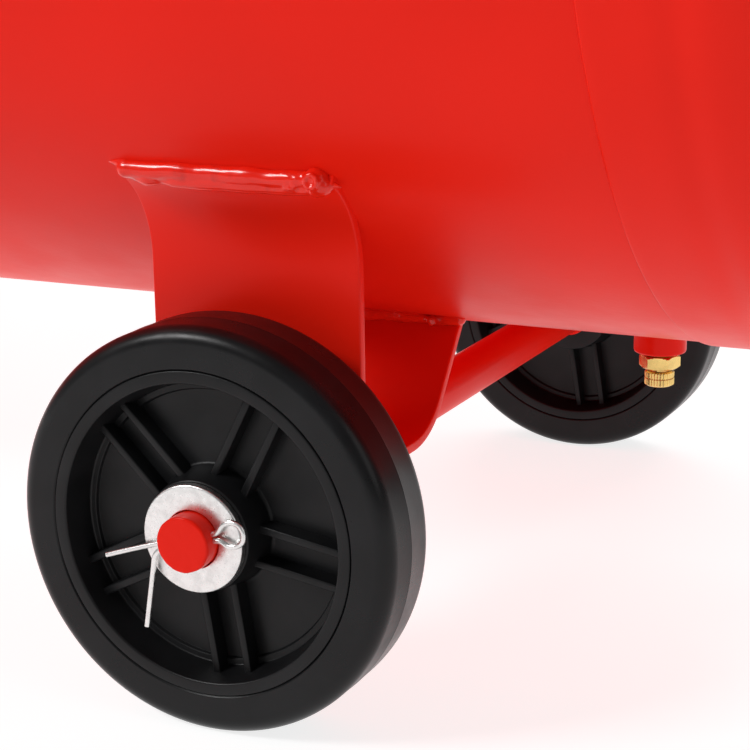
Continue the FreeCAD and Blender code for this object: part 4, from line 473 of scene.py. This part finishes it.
def head_outline(radius):
    """One dished end in (radius, distance from the seam), with its joggled band in front."""
    gap = CROWN - KNUCKLE
    rise = radius - KNUCKLE
    crown_at = BAND - math.sqrt(gap * gap - rise * rise)
    lean = math.atan2(rise, BAND - crown_at)
    dip, dip_at, dip_wide = 1.1 * MM, 30 * MM, 5.5 * MM
    outer = [(radius - 1.3 * MM, 0.0)]
    lip = 1.1 * MM
    for k in range(6):
        angle = math.pi / 2 * k / 5
        outer.append((radius - lip + lip * math.sin(angle), lip - lip * math.cos(angle)))
    outer += [(radius, BAND * k / 16) for k in range(2, 16)]
    knuckle_steps, crown_steps = 36, 40
    for k in range(knuckle_steps):
        angle = math.pi / 2 + (lean - math.pi / 2) * k / knuckle_steps
        outer.append((radius - KNUCKLE + KNUCKLE * math.sin(angle), BAND + KNUCKLE * math.cos(angle)))
    for k in range(crown_steps + 1):
        angle = lean * (1 - k / crown_steps)
        outer.append((CROWN * math.sin(angle), crown_at + CROWN * math.cos(angle)))
    outer = [(r - dip * math.exp(-((d - dip_at) / dip_wide) ** 2), d) for r, d in outer]
    inner = [(max(r - TANK_SHEET, 0.0), d) for r, d in reversed(outer[7:-1])]
    inner = [(r, max(d - TANK_SHEET, 0.0)) for r, d in inner]
    return outer + [(0.0, outer[-1][1] - TANK_SHEET)] + inner + [(inner[-1][0], 0.0)]


def tank_skins():
    """The rolled barrel and the two dished ends, with a lip and a soft band at each seam."""
    low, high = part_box("tank_shell")
    head_low, head_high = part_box("wheel_end_head")
    centre_z = middle("tank_shell").z
    radius = (high.z - low.z) / 2
    shell = rounded_outline([(radius, low.x, 0.3 * MM), (radius, high.x, 0.3 * MM),
                             (radius - TANK_SHEET, high.x, 0), (radius - TANK_SHEET, low.x, 0)])
    make_piece("tank_barrel", *lathe(shell, (0, 0, centre_z), X, steps=TANK_STEPS), slot="red_paint",
               material=MATERIALS["red_paint"], replaces=["tank_shell"])
    outline = head_outline((head_high.z - head_low.z) / 2)
    make_piece("wheel_end_dish", *lathe(outline, (head_low.x, 0, centre_z), X, steps=TANK_STEPS),
               slot="red_paint", material=MATERIALS["red_paint"], replaces=["wheel_end_head"])
    make_piece("handle_end_dish", *lathe(outline, (low.x, 0, centre_z), -X, steps=TANK_STEPS),
               slot="red_paint", material=MATERIALS["red_paint"], replaces=["handle_end_head"])


# ---------------------------------------------------------------- wheels

RIB_ANGLES = [-9 + 72 * k for k in range(5)]


def tyre_outline(bore, radius, width):
    """Half section of the tyre, with a thin moulding line round the tread."""
    shoulder, lip, fin = 6.2 * MM, 0.7 * MM, 0.12 * MM
    tread = radius - fin
    corners = [(bore, lip, 0.2 * MM), (bore + lip, 0, 0.5 * MM), (tread, 0, shoulder),
               (tread, width / 2 - 0.5 * MM, 0), (radius, width / 2, 0.05 * MM),
               (tread, width / 2 + 0.5 * MM, 0), (tread, width, shoulder),
               (bore + lip, width, 0.5 * MM), (bore, width - lip, 0.2 * MM)]
    return rounded_outline(corners, steps=9)


def hub_outline(bore, rim, width):
    """Half section of the wheel centre: boss, thin web with a step, and rim."""
    boss, recess, deep = 20.5 * MM, 55.0 * MM, 14 * MM
    proud, seat, back_boss = 0.2 * MM, 1.1 * MM, 2.9 * MM
    step_foot, step_edge, step_end = recess - 5.2 * MM, recess - 4.6 * MM, recess - 2.3 * MM
    step = deep - 1.2 * MM
    front = [(bore, -proud, 0.3 * MM), (boss, -proud, 0.9 * MM), (boss + 2 * MM, deep, 1.6 * MM),
             (step_foot, deep, 0.2 * MM), (step_edge, step, 0.4 * MM), (step_end, step, 0.8 * MM),
             (recess, 0, 0.9 * MM), (rim, 0, 0.6 * MM), (rim, seat, 0)]
    back = [(r, width - d, c) for r, d, c in reversed(front)]
    back[-1] = (bore, width + back_boss, 0.3 * MM)
    back[-2] = (boss, width + back_boss, 0.9 * MM)
    return rounded_outline(front + back, steps=4)


def wheel(side, tyre_node, hub_node, body):
    """One wheel; side is -1 for the near one and 1 for the far one."""
    low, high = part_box(tyre_node)
    centre = middle(tyre_node)
    width = high.y - low.y
    radius = (high.z - low.z) / 2
    bore, rim = 10.4 * MM, 59.6 * MM
    face = (centre.x, low.y if side < 0 else high.y, centre.z)
    inward = Y * -side
    rubber = lathe(tyre_outline(rim + 0.05 * MM, radius, width), face, inward, steps=192)
    make_piece(tyre_node + "_rubber", *rubber, body=body, slot="tyre_rubber",
               material=MATERIALS["tyre_rubber"], replaces=[tyre_node])
    parts = [lathe(hub_outline(bore, rim, width), face, inward, steps=160)]
    rib_start, rib_end, rib_top, rib_gap = 18 * MM, 54.2 * MM, 7 * MM, 13 * MM
    rib_thick, rib_edge = 2.9 * MM, 0.6 * MM
    size = (rib_end - rib_start, width - rib_top * 2, rib_thick)
    for angle in RIB_ANGLES:
        for across in (-rib_gap / 2, rib_gap / 2):
            lift = Matrix.Translation(((rib_start + rib_end) / 2, 0, across))
            turn = Matrix.Rotation(math.radians(-angle), 4, "Y")
            place = Matrix.Translation((centre.x, centre.y, centre.z)) @ turn @ lift
            parts.append(rounded_bar(size, rib_edge, place))
    make_piece(hub_node + "_moulding", *joined(*parts), body=body, slot="black_plastic",
               material=MATERIALS["black_plastic"], replaces=[hub_node])


# ---------------------------------------------------------------- axle, washers, pins

def axle():
    """The painted bar, with uneven rounded ends and a collar inside each wheel."""
    centre = middle("axle_bar")
    radius, half = 10.25 * MM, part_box("axle_bar")[1].y
    collar, face, wide, collar_edge = 12.0 * MM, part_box("far_tyre")[0].y - 3.4 * MM, 4 * MM, 0.5 * MM
    edge, uneven, coarse, fine = 0.9 * MM, 5 * MM, 0.30 * MM, 0.08 * MM
    end = [(share * radius, half) for share in (0.0, 0.35, 0.7, 0.86)]
    for k in range(7):
        angle = math.pi / 2 * k / 6
        end.append((radius - edge + edge * math.sin(angle), half - edge + edge * math.cos(angle)))
    end += [(radius, half - 1.6 * MM), (radius, half - 4 * MM), (radius, half - 9 * MM)]
    end += [(radius, face), (collar - collar_edge, face), (collar, face - collar_edge),
            (collar, face - wide + collar_edge), (collar - collar_edge, face - wide),
            (radius, face - wide)]
    outline = end + [(r, -d) for r, d in reversed(end)]
    points, faces = lathe(outline, centre, Y)
    for p in points:
        near_end = max(0.0, 1 - (half - abs(p.y)) / uneven)
        out = Vector((p.x - centre.x, 0, p.z - centre.z))
        rough = noise.noise(p * 260) * coarse + noise.noise(p * 800) * fine
        p += out.normalized() * min(rough, 0) * near_end if out.length > 0.1 * radius else Vector()
        p.y -= math.copysign(abs(rough) * near_end * 0.8, p.y)
    make_piece("axle_rod", points, faces, slot="red_paint", material=MATERIALS["red_paint"],
               replaces=["axle_bar"])


def washers():
    """A punched zinc washer outside each wheel, with one rolled and one sharp side."""
    low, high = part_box("axle_washers")
    centre = middle("axle_washers")
    thick, radius, bore = 3 * MM, (high.z - low.z) / 2, 10.6 * MM
    section = rounded_outline([(bore, 0, 0.35 * MM), (radius, 0, 0.8 * MM), (radius, thick, 0.3 * MM),
                               (bore, thick, 0.2 * MM)], steps=4)
    near = lathe(section, (centre.x, low.y, centre.z), Y)
    make_piece("axle_washer_set", *joined(near, mirrored(near)), slot="zinc_steel",
               material=MATERIALS["zinc_steel"], replaces=["axle_washers"])


def split_pins():
    """One folded wire each side: a round eye, a straight leg and a leg bent down.

    The route is in millimetres, along the pin and across it.
    """
    low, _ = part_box("split_pins")
    centre = middle("axle_bar")
    wire_radius = 1.0 * MM
    depth = low.y + wire_radius + 0.05 * MM
    tilt = math.radians(15.4)
    half = 1.05
    eye = [(11.0, half + 0.1), (12.8, 1.7), (15.2, 3.9), (18.6, 4.5), (21.8, 3.2), (22.9, 0.0)]
    under = [(a, -b) for a, b in reversed(eye[:-1])]
    line = [(-35.6, half - 1.4), (-24, half - 0.6), (-10, half), (7.5, half)] + eye + under
    line += [(7.5, -half), (-4, -half), (-12.2, -half - 0.05), (-15.8, -3.2), (-17.4, -7.2),
             (-25.2, -24.0), (-27.2, -28.3)]
    points = []
    for a, b in line:
        x, z = a * MM, b * MM
        points.append(Vector((centre.x + x * math.cos(tilt) - z * math.sin(tilt), depth,
                              centre.z + x * math.sin(tilt) + z * math.cos(tilt))))
    near = wire(points, wire_radius)
    make_piece("split_pin_pair", *joined(near, mirrored(near)), slot="zinc_steel",
               material=MATERIALS["zinc_steel"], replaces=["split_pins"], sharp=50)


# ---------------------------------------------------------------- wheel brackets and welds

def bracket_line():
    """The middle of the bent sheet: (distance outward, height over the axle, bend) in mm."""
    leg, seat = 162.5, 12.3
    return [(66.5, 58.5, 0), (102.9, seat, 32), (leg, seat, 14), (leg, 110.6, 42), (183.2, 124.0, 0)]


def sheet_outline(corners, thick):
    """Both sides of a bent sheet from the line along its middle."""
    line = []
    for i, (a, b, radius) in enumerate(corners):
        here = Vector((a, b))
        if radius <= 0:
            line.append(here)
            continue
        before, after = Vector(corners[i - 1][:2]), Vector(corners[i + 1][:2])
        line += corner_arc(before, here, after, radius, steps=14)
    one, other = [], []
    for i, p in enumerate(line):
        heading = (line[min(i + 1, len(line) - 1)] - line[max(i - 1, 0)]).normalized()
        across = Vector((-heading.y, heading.x)) * thick / 2
        one.append(p + across)
        other.append(p - across)
    return one + other[::-1]


def wheel_brackets():
    """Two bent sheets with softened edges, mirrored about the middle of the tank."""
    low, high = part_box("wheel_brackets")
    centre = middle("axle_bar")
    thick, edge, crease = 4.0, 0.7 * MM, 1.0
    outline = [p * MM for p in sheet_outline(bracket_line(), thick)]
    half = (high.x - low.x) / 2
    count = len(outline)
    work = bmesh.new()
    rows = [[work.verts.new((centre.x + half * s, -p.x, centre.z + p.y)) for p in outline] for s in (-1, 1)]
    for i in range(count):
        j = (i + 1) % count
        work.faces.new((rows[0][i], rows[0][j], rows[1][j], rows[1][i]))
    for row in rows:
        for i in range(count // 2 - 1):
            work.faces.new((row[i], row[i + 1], row[count - 2 - i], row[count - 1 - i]))
    bmesh.ops.recalc_face_normals(work, faces=work.faces)
    rims = [e for e in work.edges if len(e.link_faces) == 2 and e.calc_face_angle(0) > crease]
    bmesh.ops.bevel(work, geom=rims, offset=edge, segments=3, profile=0.5, affect="EDGES")
    work.verts.index_update()
    near = [v.co.copy() for v in work.verts], [tuple(v.index for v in f.verts) for f in work.faces]
    work.free()
    make_piece("bracket_sheets", *joined(near, mirrored(near)), slot="red_paint",
               material=MATERIALS["red_paint"], replaces=["wheel_brackets"], sharp=50)


def strand(start, end, radius, seed, wander=0.6 * MM, swell=0.22, taper=0.0):
    """Places and radii of the drops that make one strand of weld, thinner where it tapers."""
    start, end = Vector(start), Vector(end)
    length = (end - start).length
    count = int(length / (0.7 * MM))
    blobs = []
    for k in range(count + 1):
        share = k / count
        along = share * length
        slow = Vector((along * 75, seed, 0))
        drift = Vector((0, noise.noise(slow + Y * 5), noise.noise(slow + Y * 9))) * wander * 2
        size = 1 + swell * 2 * noise.noise(slow)
        ends = min(along, length - along) / taper if taper else 1.0
        blobs.append((start.lerp(end, share) + drift, radius * size * min(1.0, 0.25 + 0.75 * ends)))
    return blobs


def crater(centre, radius, hole, side):
    """A ring of drops round a small hole, seen from outside."""
    centre = Vector(centre)
    return [(centre + Vector((math.cos(a), 0, math.sin(a))) * (hole + radius) + Y * side * 0.3 * MM, radius)
            for a in [2 * math.pi * k / 9 for k in range(9)]]


def melted(name, blobs, cell):
    """Many drops melted into one closed skin."""
    work = bmesh.new()
    bmesh.ops.create_icosphere(work, subdivisions=2, radius=1.0)
    work.verts.index_update()
    ball = [v.co.copy() for v in work.verts]
    ball_faces = [tuple(v.index for v in f.verts) for f in work.faces]
    work.free()
    mesh = bpy.data.meshes.new(name)
    points, faces = joined(*[([Vector(at) + p * radius for p in ball], ball_faces) for at, radius in blobs])
    mesh.from_pydata([tuple(p) for p in points], [], faces)
    holder = bpy.data.objects.new(name, mesh)
    bpy.context.scene.collection.objects.link(holder)
    remesh = holder.modifiers.new("melt", "REMESH")
    remesh.mode = "VOXEL"
    remesh.voxel_size = cell
    soften = holder.modifiers.new("soften", "SMOOTH")
    soften.iterations = 5
    soften.factor = 0.5
    bpy.context.view_layer.update()
    evaluated = holder.evaluated_get(bpy.context.evaluated_depsgraph_get())
    result = bpy.data.meshes.new_from_object(evaluated)
    bpy.data.objects.remove(holder)
    return result


def under_tank(y):
    """Height of the tank's underside at a distance from its middle."""
    low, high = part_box("tank_shell")
    return middle("tank_shell").z - math.sqrt(((high.z - low.z) / 2) ** 2 - y * y)


def outer_bead(side, left, right, rng):
    """The thick bead on a bracket's flared lip: two strands, a blob with a crater, and pits."""
    y = side * 182.0 * MM
    z = under_tank(y) - 2.3 * MM
    out = Y * side * MM
    face = out * -0.5

    def at(x, rise, outward=Vector()):
        return Vector((x, y, z + rise * MM)) + outward

    blobs = strand(at(left - 5 * MM, 3.2), at(left + 9 * MM, 0.6), 3.4 * MM, 3, taper=12 * MM)
    blobs += strand(at(left + 2 * MM, 0.8), at(right - 8 * MM, 0.6), 3.7 * MM, 11,
                    wander=0.4 * MM, swell=0.12)
    blobs += strand(at(left + 3 * MM, -2.4, face), at(left + 18 * MM, -3.2, face), 2.7 * MM, 23,
                    wander=0.3 * MM, swell=0.12, taper=7 * MM)
    blobs += strand(at(left + 14 * MM, -2.6, face), at(right - 3 * MM, -2.6, face), 3.0 * MM, 31,
                    wander=0.3 * MM, swell=0.12, taper=8 * MM)
    blob = at(right - 6.5 * MM, 1.0, out)
    blobs += [(blob, 4.8 * MM), (blob + X * 2 * MM - Z * 2 * MM, 4.0 * MM), (blob - Z * 3 * MM, 3.4 * MM)]
    blobs += crater(blob + out * 4.4, 0.9 * MM, 1.5 * MM, side)
    blobs += strand(at(right - 6 * MM, 0), at(right + 2.5 * MM, -1.4), 2.8 * MM, 41, taper=6 * MM)
    pitted = at(right - 15.5 * MM, -0.6, out * 3.1)
    for _ in range(30):
        off = Vector((rng.uniform(-2.6, 2.6), side * rng.uniform(-0.5, 0.3), rng.uniform(-2.2, 2.2)))
        blobs.append((pitted + off * MM, rng.uniform(0.4, 0.7) * MM))
    return blobs


def inner_bead(side, left, right, rng):
    """The rougher bead along a bracket's inner leg, with drops run down from it."""
    y = side * 75.5 * MM
    z = under_tank(y) - 0.6 * MM
    blobs = strand((left, y, z), (right, y, z), 3.0 * MM, 53, wander=0.9 * MM, swell=0.4)
    for _ in range(14):
        drop = Vector((rng.uniform(left + 5 * MM, right), y, z))
        drop += Vector((0, side * rng.uniform(0, 3), rng.uniform(-3, 0))) * MM
        blobs.append((drop, rng.uniform(0.8, 2.0) * MM))
    return blobs


def foot_bead(side):
    """The bead along the top of one leg of the foot."""
    low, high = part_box("foot_bracket")
    y = side * 95.5 * MM
    z = under_tank(y) - 0.8 * MM
    return strand((low.x, y, z), (high.x, y, z), 3.2 * MM, 61)


def handle_bead(side):
    """The bead that holds one end of the handle on the tank's shoulder."""
    low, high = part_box("tank_shell")
    radius = (high.z - low.z) / 2 + 1.2 * MM
    y = 176 * MM
    z = middle("tank_shell").z + math.sqrt(radius ** 2 - y ** 2) + 1.0 * MM
    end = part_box("handle_bar")[1].x
    return strand((end - 100 * MM, side * y, z), (end - 10 * MM, side * y, z), 3.0 * MM, 71)


def welds():
    """The painted beads of both wheel brackets, the foot and the handle."""
    rng = random.Random(7)
    low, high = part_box("wheel_brackets")
    blobs = []
    for side in (-1, 1):
        blobs += outer_bead(side, low.x, high.x, rng)
        blobs += inner_bead(side, low.x, high.x, rng)
        blobs += foot_bead(side)
        blobs += handle_bead(side)
    finish_piece("weld_runs", melted("weld_runs", blobs, 0.55 * MM),
                 material=MATERIALS["thick_paint"], replaces=["weld_beads"], sharp=180)


# ---------------------------------------------------------------- drain valve

def hexagon_radius(across_flats, angle):
    """Distance from the middle of a hexagon to its edge in one direction."""
    turn = math.radians(60)
    return across_flats / 2 / math.cos((angle + turn / 2) % turn - turn / 2)


def drain_body():
    """The brass hexagon under the tank, its spout and its thread."""
    low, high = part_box("drain_valve_body")
    centre = middle("drain_valve_body")
    neck, nut = 1.3 * MM, 5.6 * MM
    flats, chamfer = 15.0 * MM, 1.1 * MM
    nut_low, nut_high = low.z + neck, low.z + neck + nut

    def nut_radius(angle, level):
        from_end = min(level - nut_low, nut_high - level)
        cone = flats / 2 - 0.25 * MM + from_end * 1.7
        return min(hexagon_radius(flats, angle - 0.2), cone)

    levels = [nut_low + chamfer * k / 4 for k in range(5)]
    levels += [nut_high - chamfer * k / 4 for k in range(4, -1, -1)]
    parts = [turned(levels, nut_radius, (centre.x, centre.y, 0), steps=192)]
    thread_low, crest, pitch = nut_high, 6.4 * MM, 0.9 * MM
    threads = []
    while thread_low < high.z - pitch:
        threads += [(crest - 0.5 * MM, thread_low), (crest, thread_low + pitch / 2)]
        thread_low += pitch
    root, bore, outlet, lap = crest - 0.5 * MM, 2.6 * MM, 4.4 * MM, 0.1 * MM
    stem = [(bore, low.z), (outlet, low.z), (outlet, nut_low + lap), (root, nut_high - lap)]
    stem += threads + [(root, high.z), (bore, high.z)]
    parts.append(lathe(stem, (centre.x, centre.y, 0), Z))
    make_piece("drain_valve_brass", *joined(*parts), slot="brass", material=MATERIALS["brass"],
               replaces=["drain_valve_body"], sharp=24)


def drain_knob():
    """The knurled brass screw that opens the drain, with one groove round it."""
    low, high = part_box("drain_valve_knob")
    centre = middle("drain_valve_body")
    grip_high = low.z + 6.2 * MM
    radius, flutes, depth = (high.x - low.x) / 2, 30, 0.35 * MM

    def grip_radius(angle, level):
        from_end = min(level - low.z, grip_high - level)
        knurl = depth * (0.5 - 0.5 * math.cos(flutes * angle)) if 0.4 * MM < from_end else depth
        groove = 0.5 * MM if abs(level - low.z - 3.3 * MM) < 0.25 * MM else 0.0
        return radius - knurl - groove - max(0.0, 0.45 * MM - from_end)

    heights = [0, 0.2, 0.45, 0.7, 1.6, 2.9, 3.05, 3.1, 3.5, 3.55, 3.7, 5.2, 5.5, 5.75, 6.0, 6.2]
    levels = [low.z + h * MM for h in heights]
    grip = turned(levels, grip_radius, (centre.x, centre.y, 0), steps=240)
    stem = turned([grip_high - 0.1 * MM, high.z], lambda angle, level: 2.4 * MM,
                  (centre.x, centre.y, 0), steps=32)
    make_piece("drain_knob_brass", *joined(grip, stem), body="drain_knob", slot="brass",
               material=MATERIALS["brass"], replaces=["drain_valve_knob"], sharp=30)


# ---------------------------------------------------------------- handle grip

def handle_grip():
    """A rubber sleeve with finger grooves round it."""
    low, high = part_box("handle_grip")
    centre = middle("handle_grip")
    radius, bore = (high.z - low.z) / 2, 13.1 * MM
    length = high.y - low.y
    outline = [(bore, 0), (radius - 2 * MM, 0), (radius - 0.6 * MM, 0.8 * MM), (radius, 2.4 * MM)]
    count = int(length / (6 * MM)) - 2
    for k in range(count):
        start = 9 * MM + k * 6 * MM
        outline += [(radius, start), (radius - 0.9 * MM, start + 0.7 * MM),
                    (radius - 0.9 * MM, start + 1.9 * MM), (radius, start + 2.6 * MM)]
    outline += [(radius, length - 2.4 * MM), (radius - 0.6 * MM, length - 0.8 * MM),
                (radius - 2 * MM, length), (bore, length)]
    make_piece("grip_sleeve", *lathe(outline, (centre.x, low.y, centre.z), Y), slot="rubber",
               material=MATERIALS["rubber"], replaces=["handle_grip"])


# ---------------------------------------------------------------- gauges

def number_shape(text, height):
    """A dial number as a thin centred solid that lies in the XY plane."""
    curve = bpy.data.curves.new("number", "FONT")
    curve.body = text
    curve.size = height
    curve.align_x = "CENTER"
    curve.align_y = "CENTER"
    curve.extrude = 0.04 * MM
    holder = bpy.data.objects.new("number", curve)
    mesh = bpy.data.meshes.new_from_object(holder)
    part = [v.co.copy() for v in mesh.vertices], [tuple(f.vertices) for f in mesh.polygons]
    bpy.data.objects.remove(holder)
    bpy.data.curves.remove(curve)
    bpy.data.meshes.remove(mesh)
    return part


def dial(name, centre, radius, front, numbers):
    """A gauge face with its marks and numbers, and the lens in front; it looks along -Y."""
    x, z = centre
    face_y = front + 5.6 * MM
    sheet = 0.4 * MM
    plate = lathe([(0.0, 0), (radius, 0), (radius, sheet), (0.0, sheet)], (x, face_y, z), Y, steps=64)
    make_piece(name + "_face", *plate, slot="gauge_face", material=MATERIALS["gauge_face"])
    marks = []
    first, sweep, per_number = 225, 270.0, 5
    steps = (len(numbers) - 1) * per_number
    for k in range(steps + 1):
        angle = math.radians(first - sweep * k / steps)
        long_mark = k % per_number == 0
        length, wide = (radius * (0.17 if long_mark else 0.09), radius * (0.03 if long_mark else 0.014))
        out = radius * 0.93 - length / 2
        place = (Matrix.Translation((x, face_y - 0.06 * MM, z)) @ Matrix.Rotation(-angle, 4, "Y")
                 @ Matrix.Translation((out, 0, 0)))
        marks.append(rounded_bar((length, 0.08 * MM, wide), 0.01 * MM, place))
        if long_mark:
            shape, faces = number_shape(numbers[k // per_number], radius * 0.24)
            reach = radius * 0.60
            spot = Vector((x + math.cos(angle) * reach, face_y - 0.05 * MM, z + math.sin(angle) * reach))
            marks.append(([spot + Vector((p.x, -p.z, p.y)) for p in shape], faces))
    make_piece(name + "_print", *joined(*marks), slot="black_paint",
               material=MATERIALS["black_paint"], sharp=60)
    rim, thick = radius - 0.1 * MM, 1.0 * MM
    pane = rounded_outline([(0.0, 0, 0), (rim, 0, 0.2 * MM), (rim, thick, 0), (0.0, thick, 0)])
    make_piece(name + "_lens", *lathe(pane, (x, front + 0.5 * MM, z), Y, steps=64), slot="sight_glass",
               material=MATERIALS["lens"])


def gauges():
    """The tank's gauge on the handle side and the smaller outlet gauge."""
    low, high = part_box("pressure_gauges")
    lens_gap, height = 1.6 * MM, 655 * MM
    large, small = 23.4 * MM, 17.4 * MM
    wall = 2.6 * MM
    dial("tank_dial", (low.x + large + wall, height), large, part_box("tank_gauge_needle")[0].y - lens_gap,
         ("0", "2", "4", "6", "8", "10", "12"))
    dial("outlet_dial", (high.x - small - wall, height), small,
         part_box("outlet_gauge_needle")[0].y - lens_gap, ("0", "4", "8", "12"))


# ---------------------------------------------------------------- scene

def light(name, place, aim, size, watts):
    data = bpy.data.lights.new(name, "AREA")
    data.shape = "RECTANGLE"
    data.size, data.size_y = size
    data.energy = watts
    lamp = bpy.data.objects.new(name, data)
    lamp.location = place
    lamp.rotation_euler = (Vector(aim) - Vector(place)).to_track_quat("-Z", "Y").to_euler()
    bpy.context.scene.collection.objects.link(lamp)


def floor():
    """A wide, plain, pale floor that glows a little, so that it reads as white."""
    half = 14.0
    mesh = bpy.data.meshes.new("floor")
    corners = [(-half, -half, 0), (half, -half, 0), (half, half, 0), (-half, half, 0)]
    mesh.from_pydata(corners, [], [(0, 1, 2, 3)])
    ground = bpy.data.objects.new("floor", mesh)
    bpy.context.scene.collection.objects.link(ground)
    finish = Finish("pale_floor", (0.40, 0.40, 0.40), 0.7, Specular_IOR_Level=0.2, Emission_Strength=0.80)
    finish.set(**{"Emission Color": (1, 1, 1, 1)})
    finish.tint(finish.spread(finish.grain(3.0), 0.3, 0.8, 0, 1), (0.38, 0.38, 0.38))
    mesh.materials.append(finish.material)


def surround():
    """An even, dim white sky."""
    world = bpy.data.worlds.new("surround")
    world.use_nodes = True
    world.node_tree.nodes["Background"].inputs["Color"].default_value = (1, 1, 1, 1)
    world.node_tree.nodes["Background"].inputs["Strength"].default_value = 0.22
    bpy.context.scene.world = world


def lights():
    """A key light from the upper left, a weak side light and a wide light behind."""
    aim = (0.35, 0, 0.2)
    light("key", (-1.1, -1.7, 1.7), aim, (0.8, 0.6), 38)
    light("side", (2.6, -0.6, 1.2), aim, (1.2, 1.2), 5)
    light("back", (0.2, 2.4, 2.0), (0.2, 0.9, 0), (3.0, 1.4), 45)


def camera():
    """The camera, from a fit of the wheels, the tank's outline and its seam."""
    focal_length, sensor = 92.12411, 36
    yaw, pitch, roll = 0.4472627, 0.2562962, -0.0143075
    place = middle("axle_bar") + Vector((332.13195, -756.83768, 224.26553)) * MM
    forward = Vector((-math.sin(yaw) * math.cos(pitch), math.cos(yaw) * math.cos(pitch), -math.sin(pitch)))
    right = Vector((math.cos(yaw), math.sin(yaw), 0))
    up = right.cross(forward)
    right, up = right * math.cos(roll) + up * math.sin(roll), up * math.cos(roll) - right * math.sin(roll)
    data = bpy.data.cameras.new("camera")
    data.sensor_width = sensor
    data.lens = focal_length
    data.clip_start, data.clip_end = 0.02, 60
    eye = bpy.data.objects.new("camera", data)
    turn = Matrix((right, up, -forward)).transposed()
    eye.matrix_world = Matrix.Translation(place) @ turn.to_4x4()
    bpy.context.scene.collection.objects.link(eye)
    bpy.context.scene.camera = eye
    bpy.context.scene.view_settings.view_transform = "Standard"


def build():
    camera()
    floor()
    surround()
    lights()
    for entry in frame["record"]["subparts"]:
        node, slot = entry["node"], entry["material_slot"]
        dress(node, slot, EDGES.get(node, EDGE))
    tank_skins()
    wheel(-1, "near_tyre", "near_wheel_hub", "near_wheel")
    wheel(1, "far_tyre", "far_wheel_hub", "far_wheel")
    axle()
    washers()
    split_pins()
    wheel_brackets()
    welds()
    drain_body()
    drain_knob()
    handle_grip()
    gauges()


build()
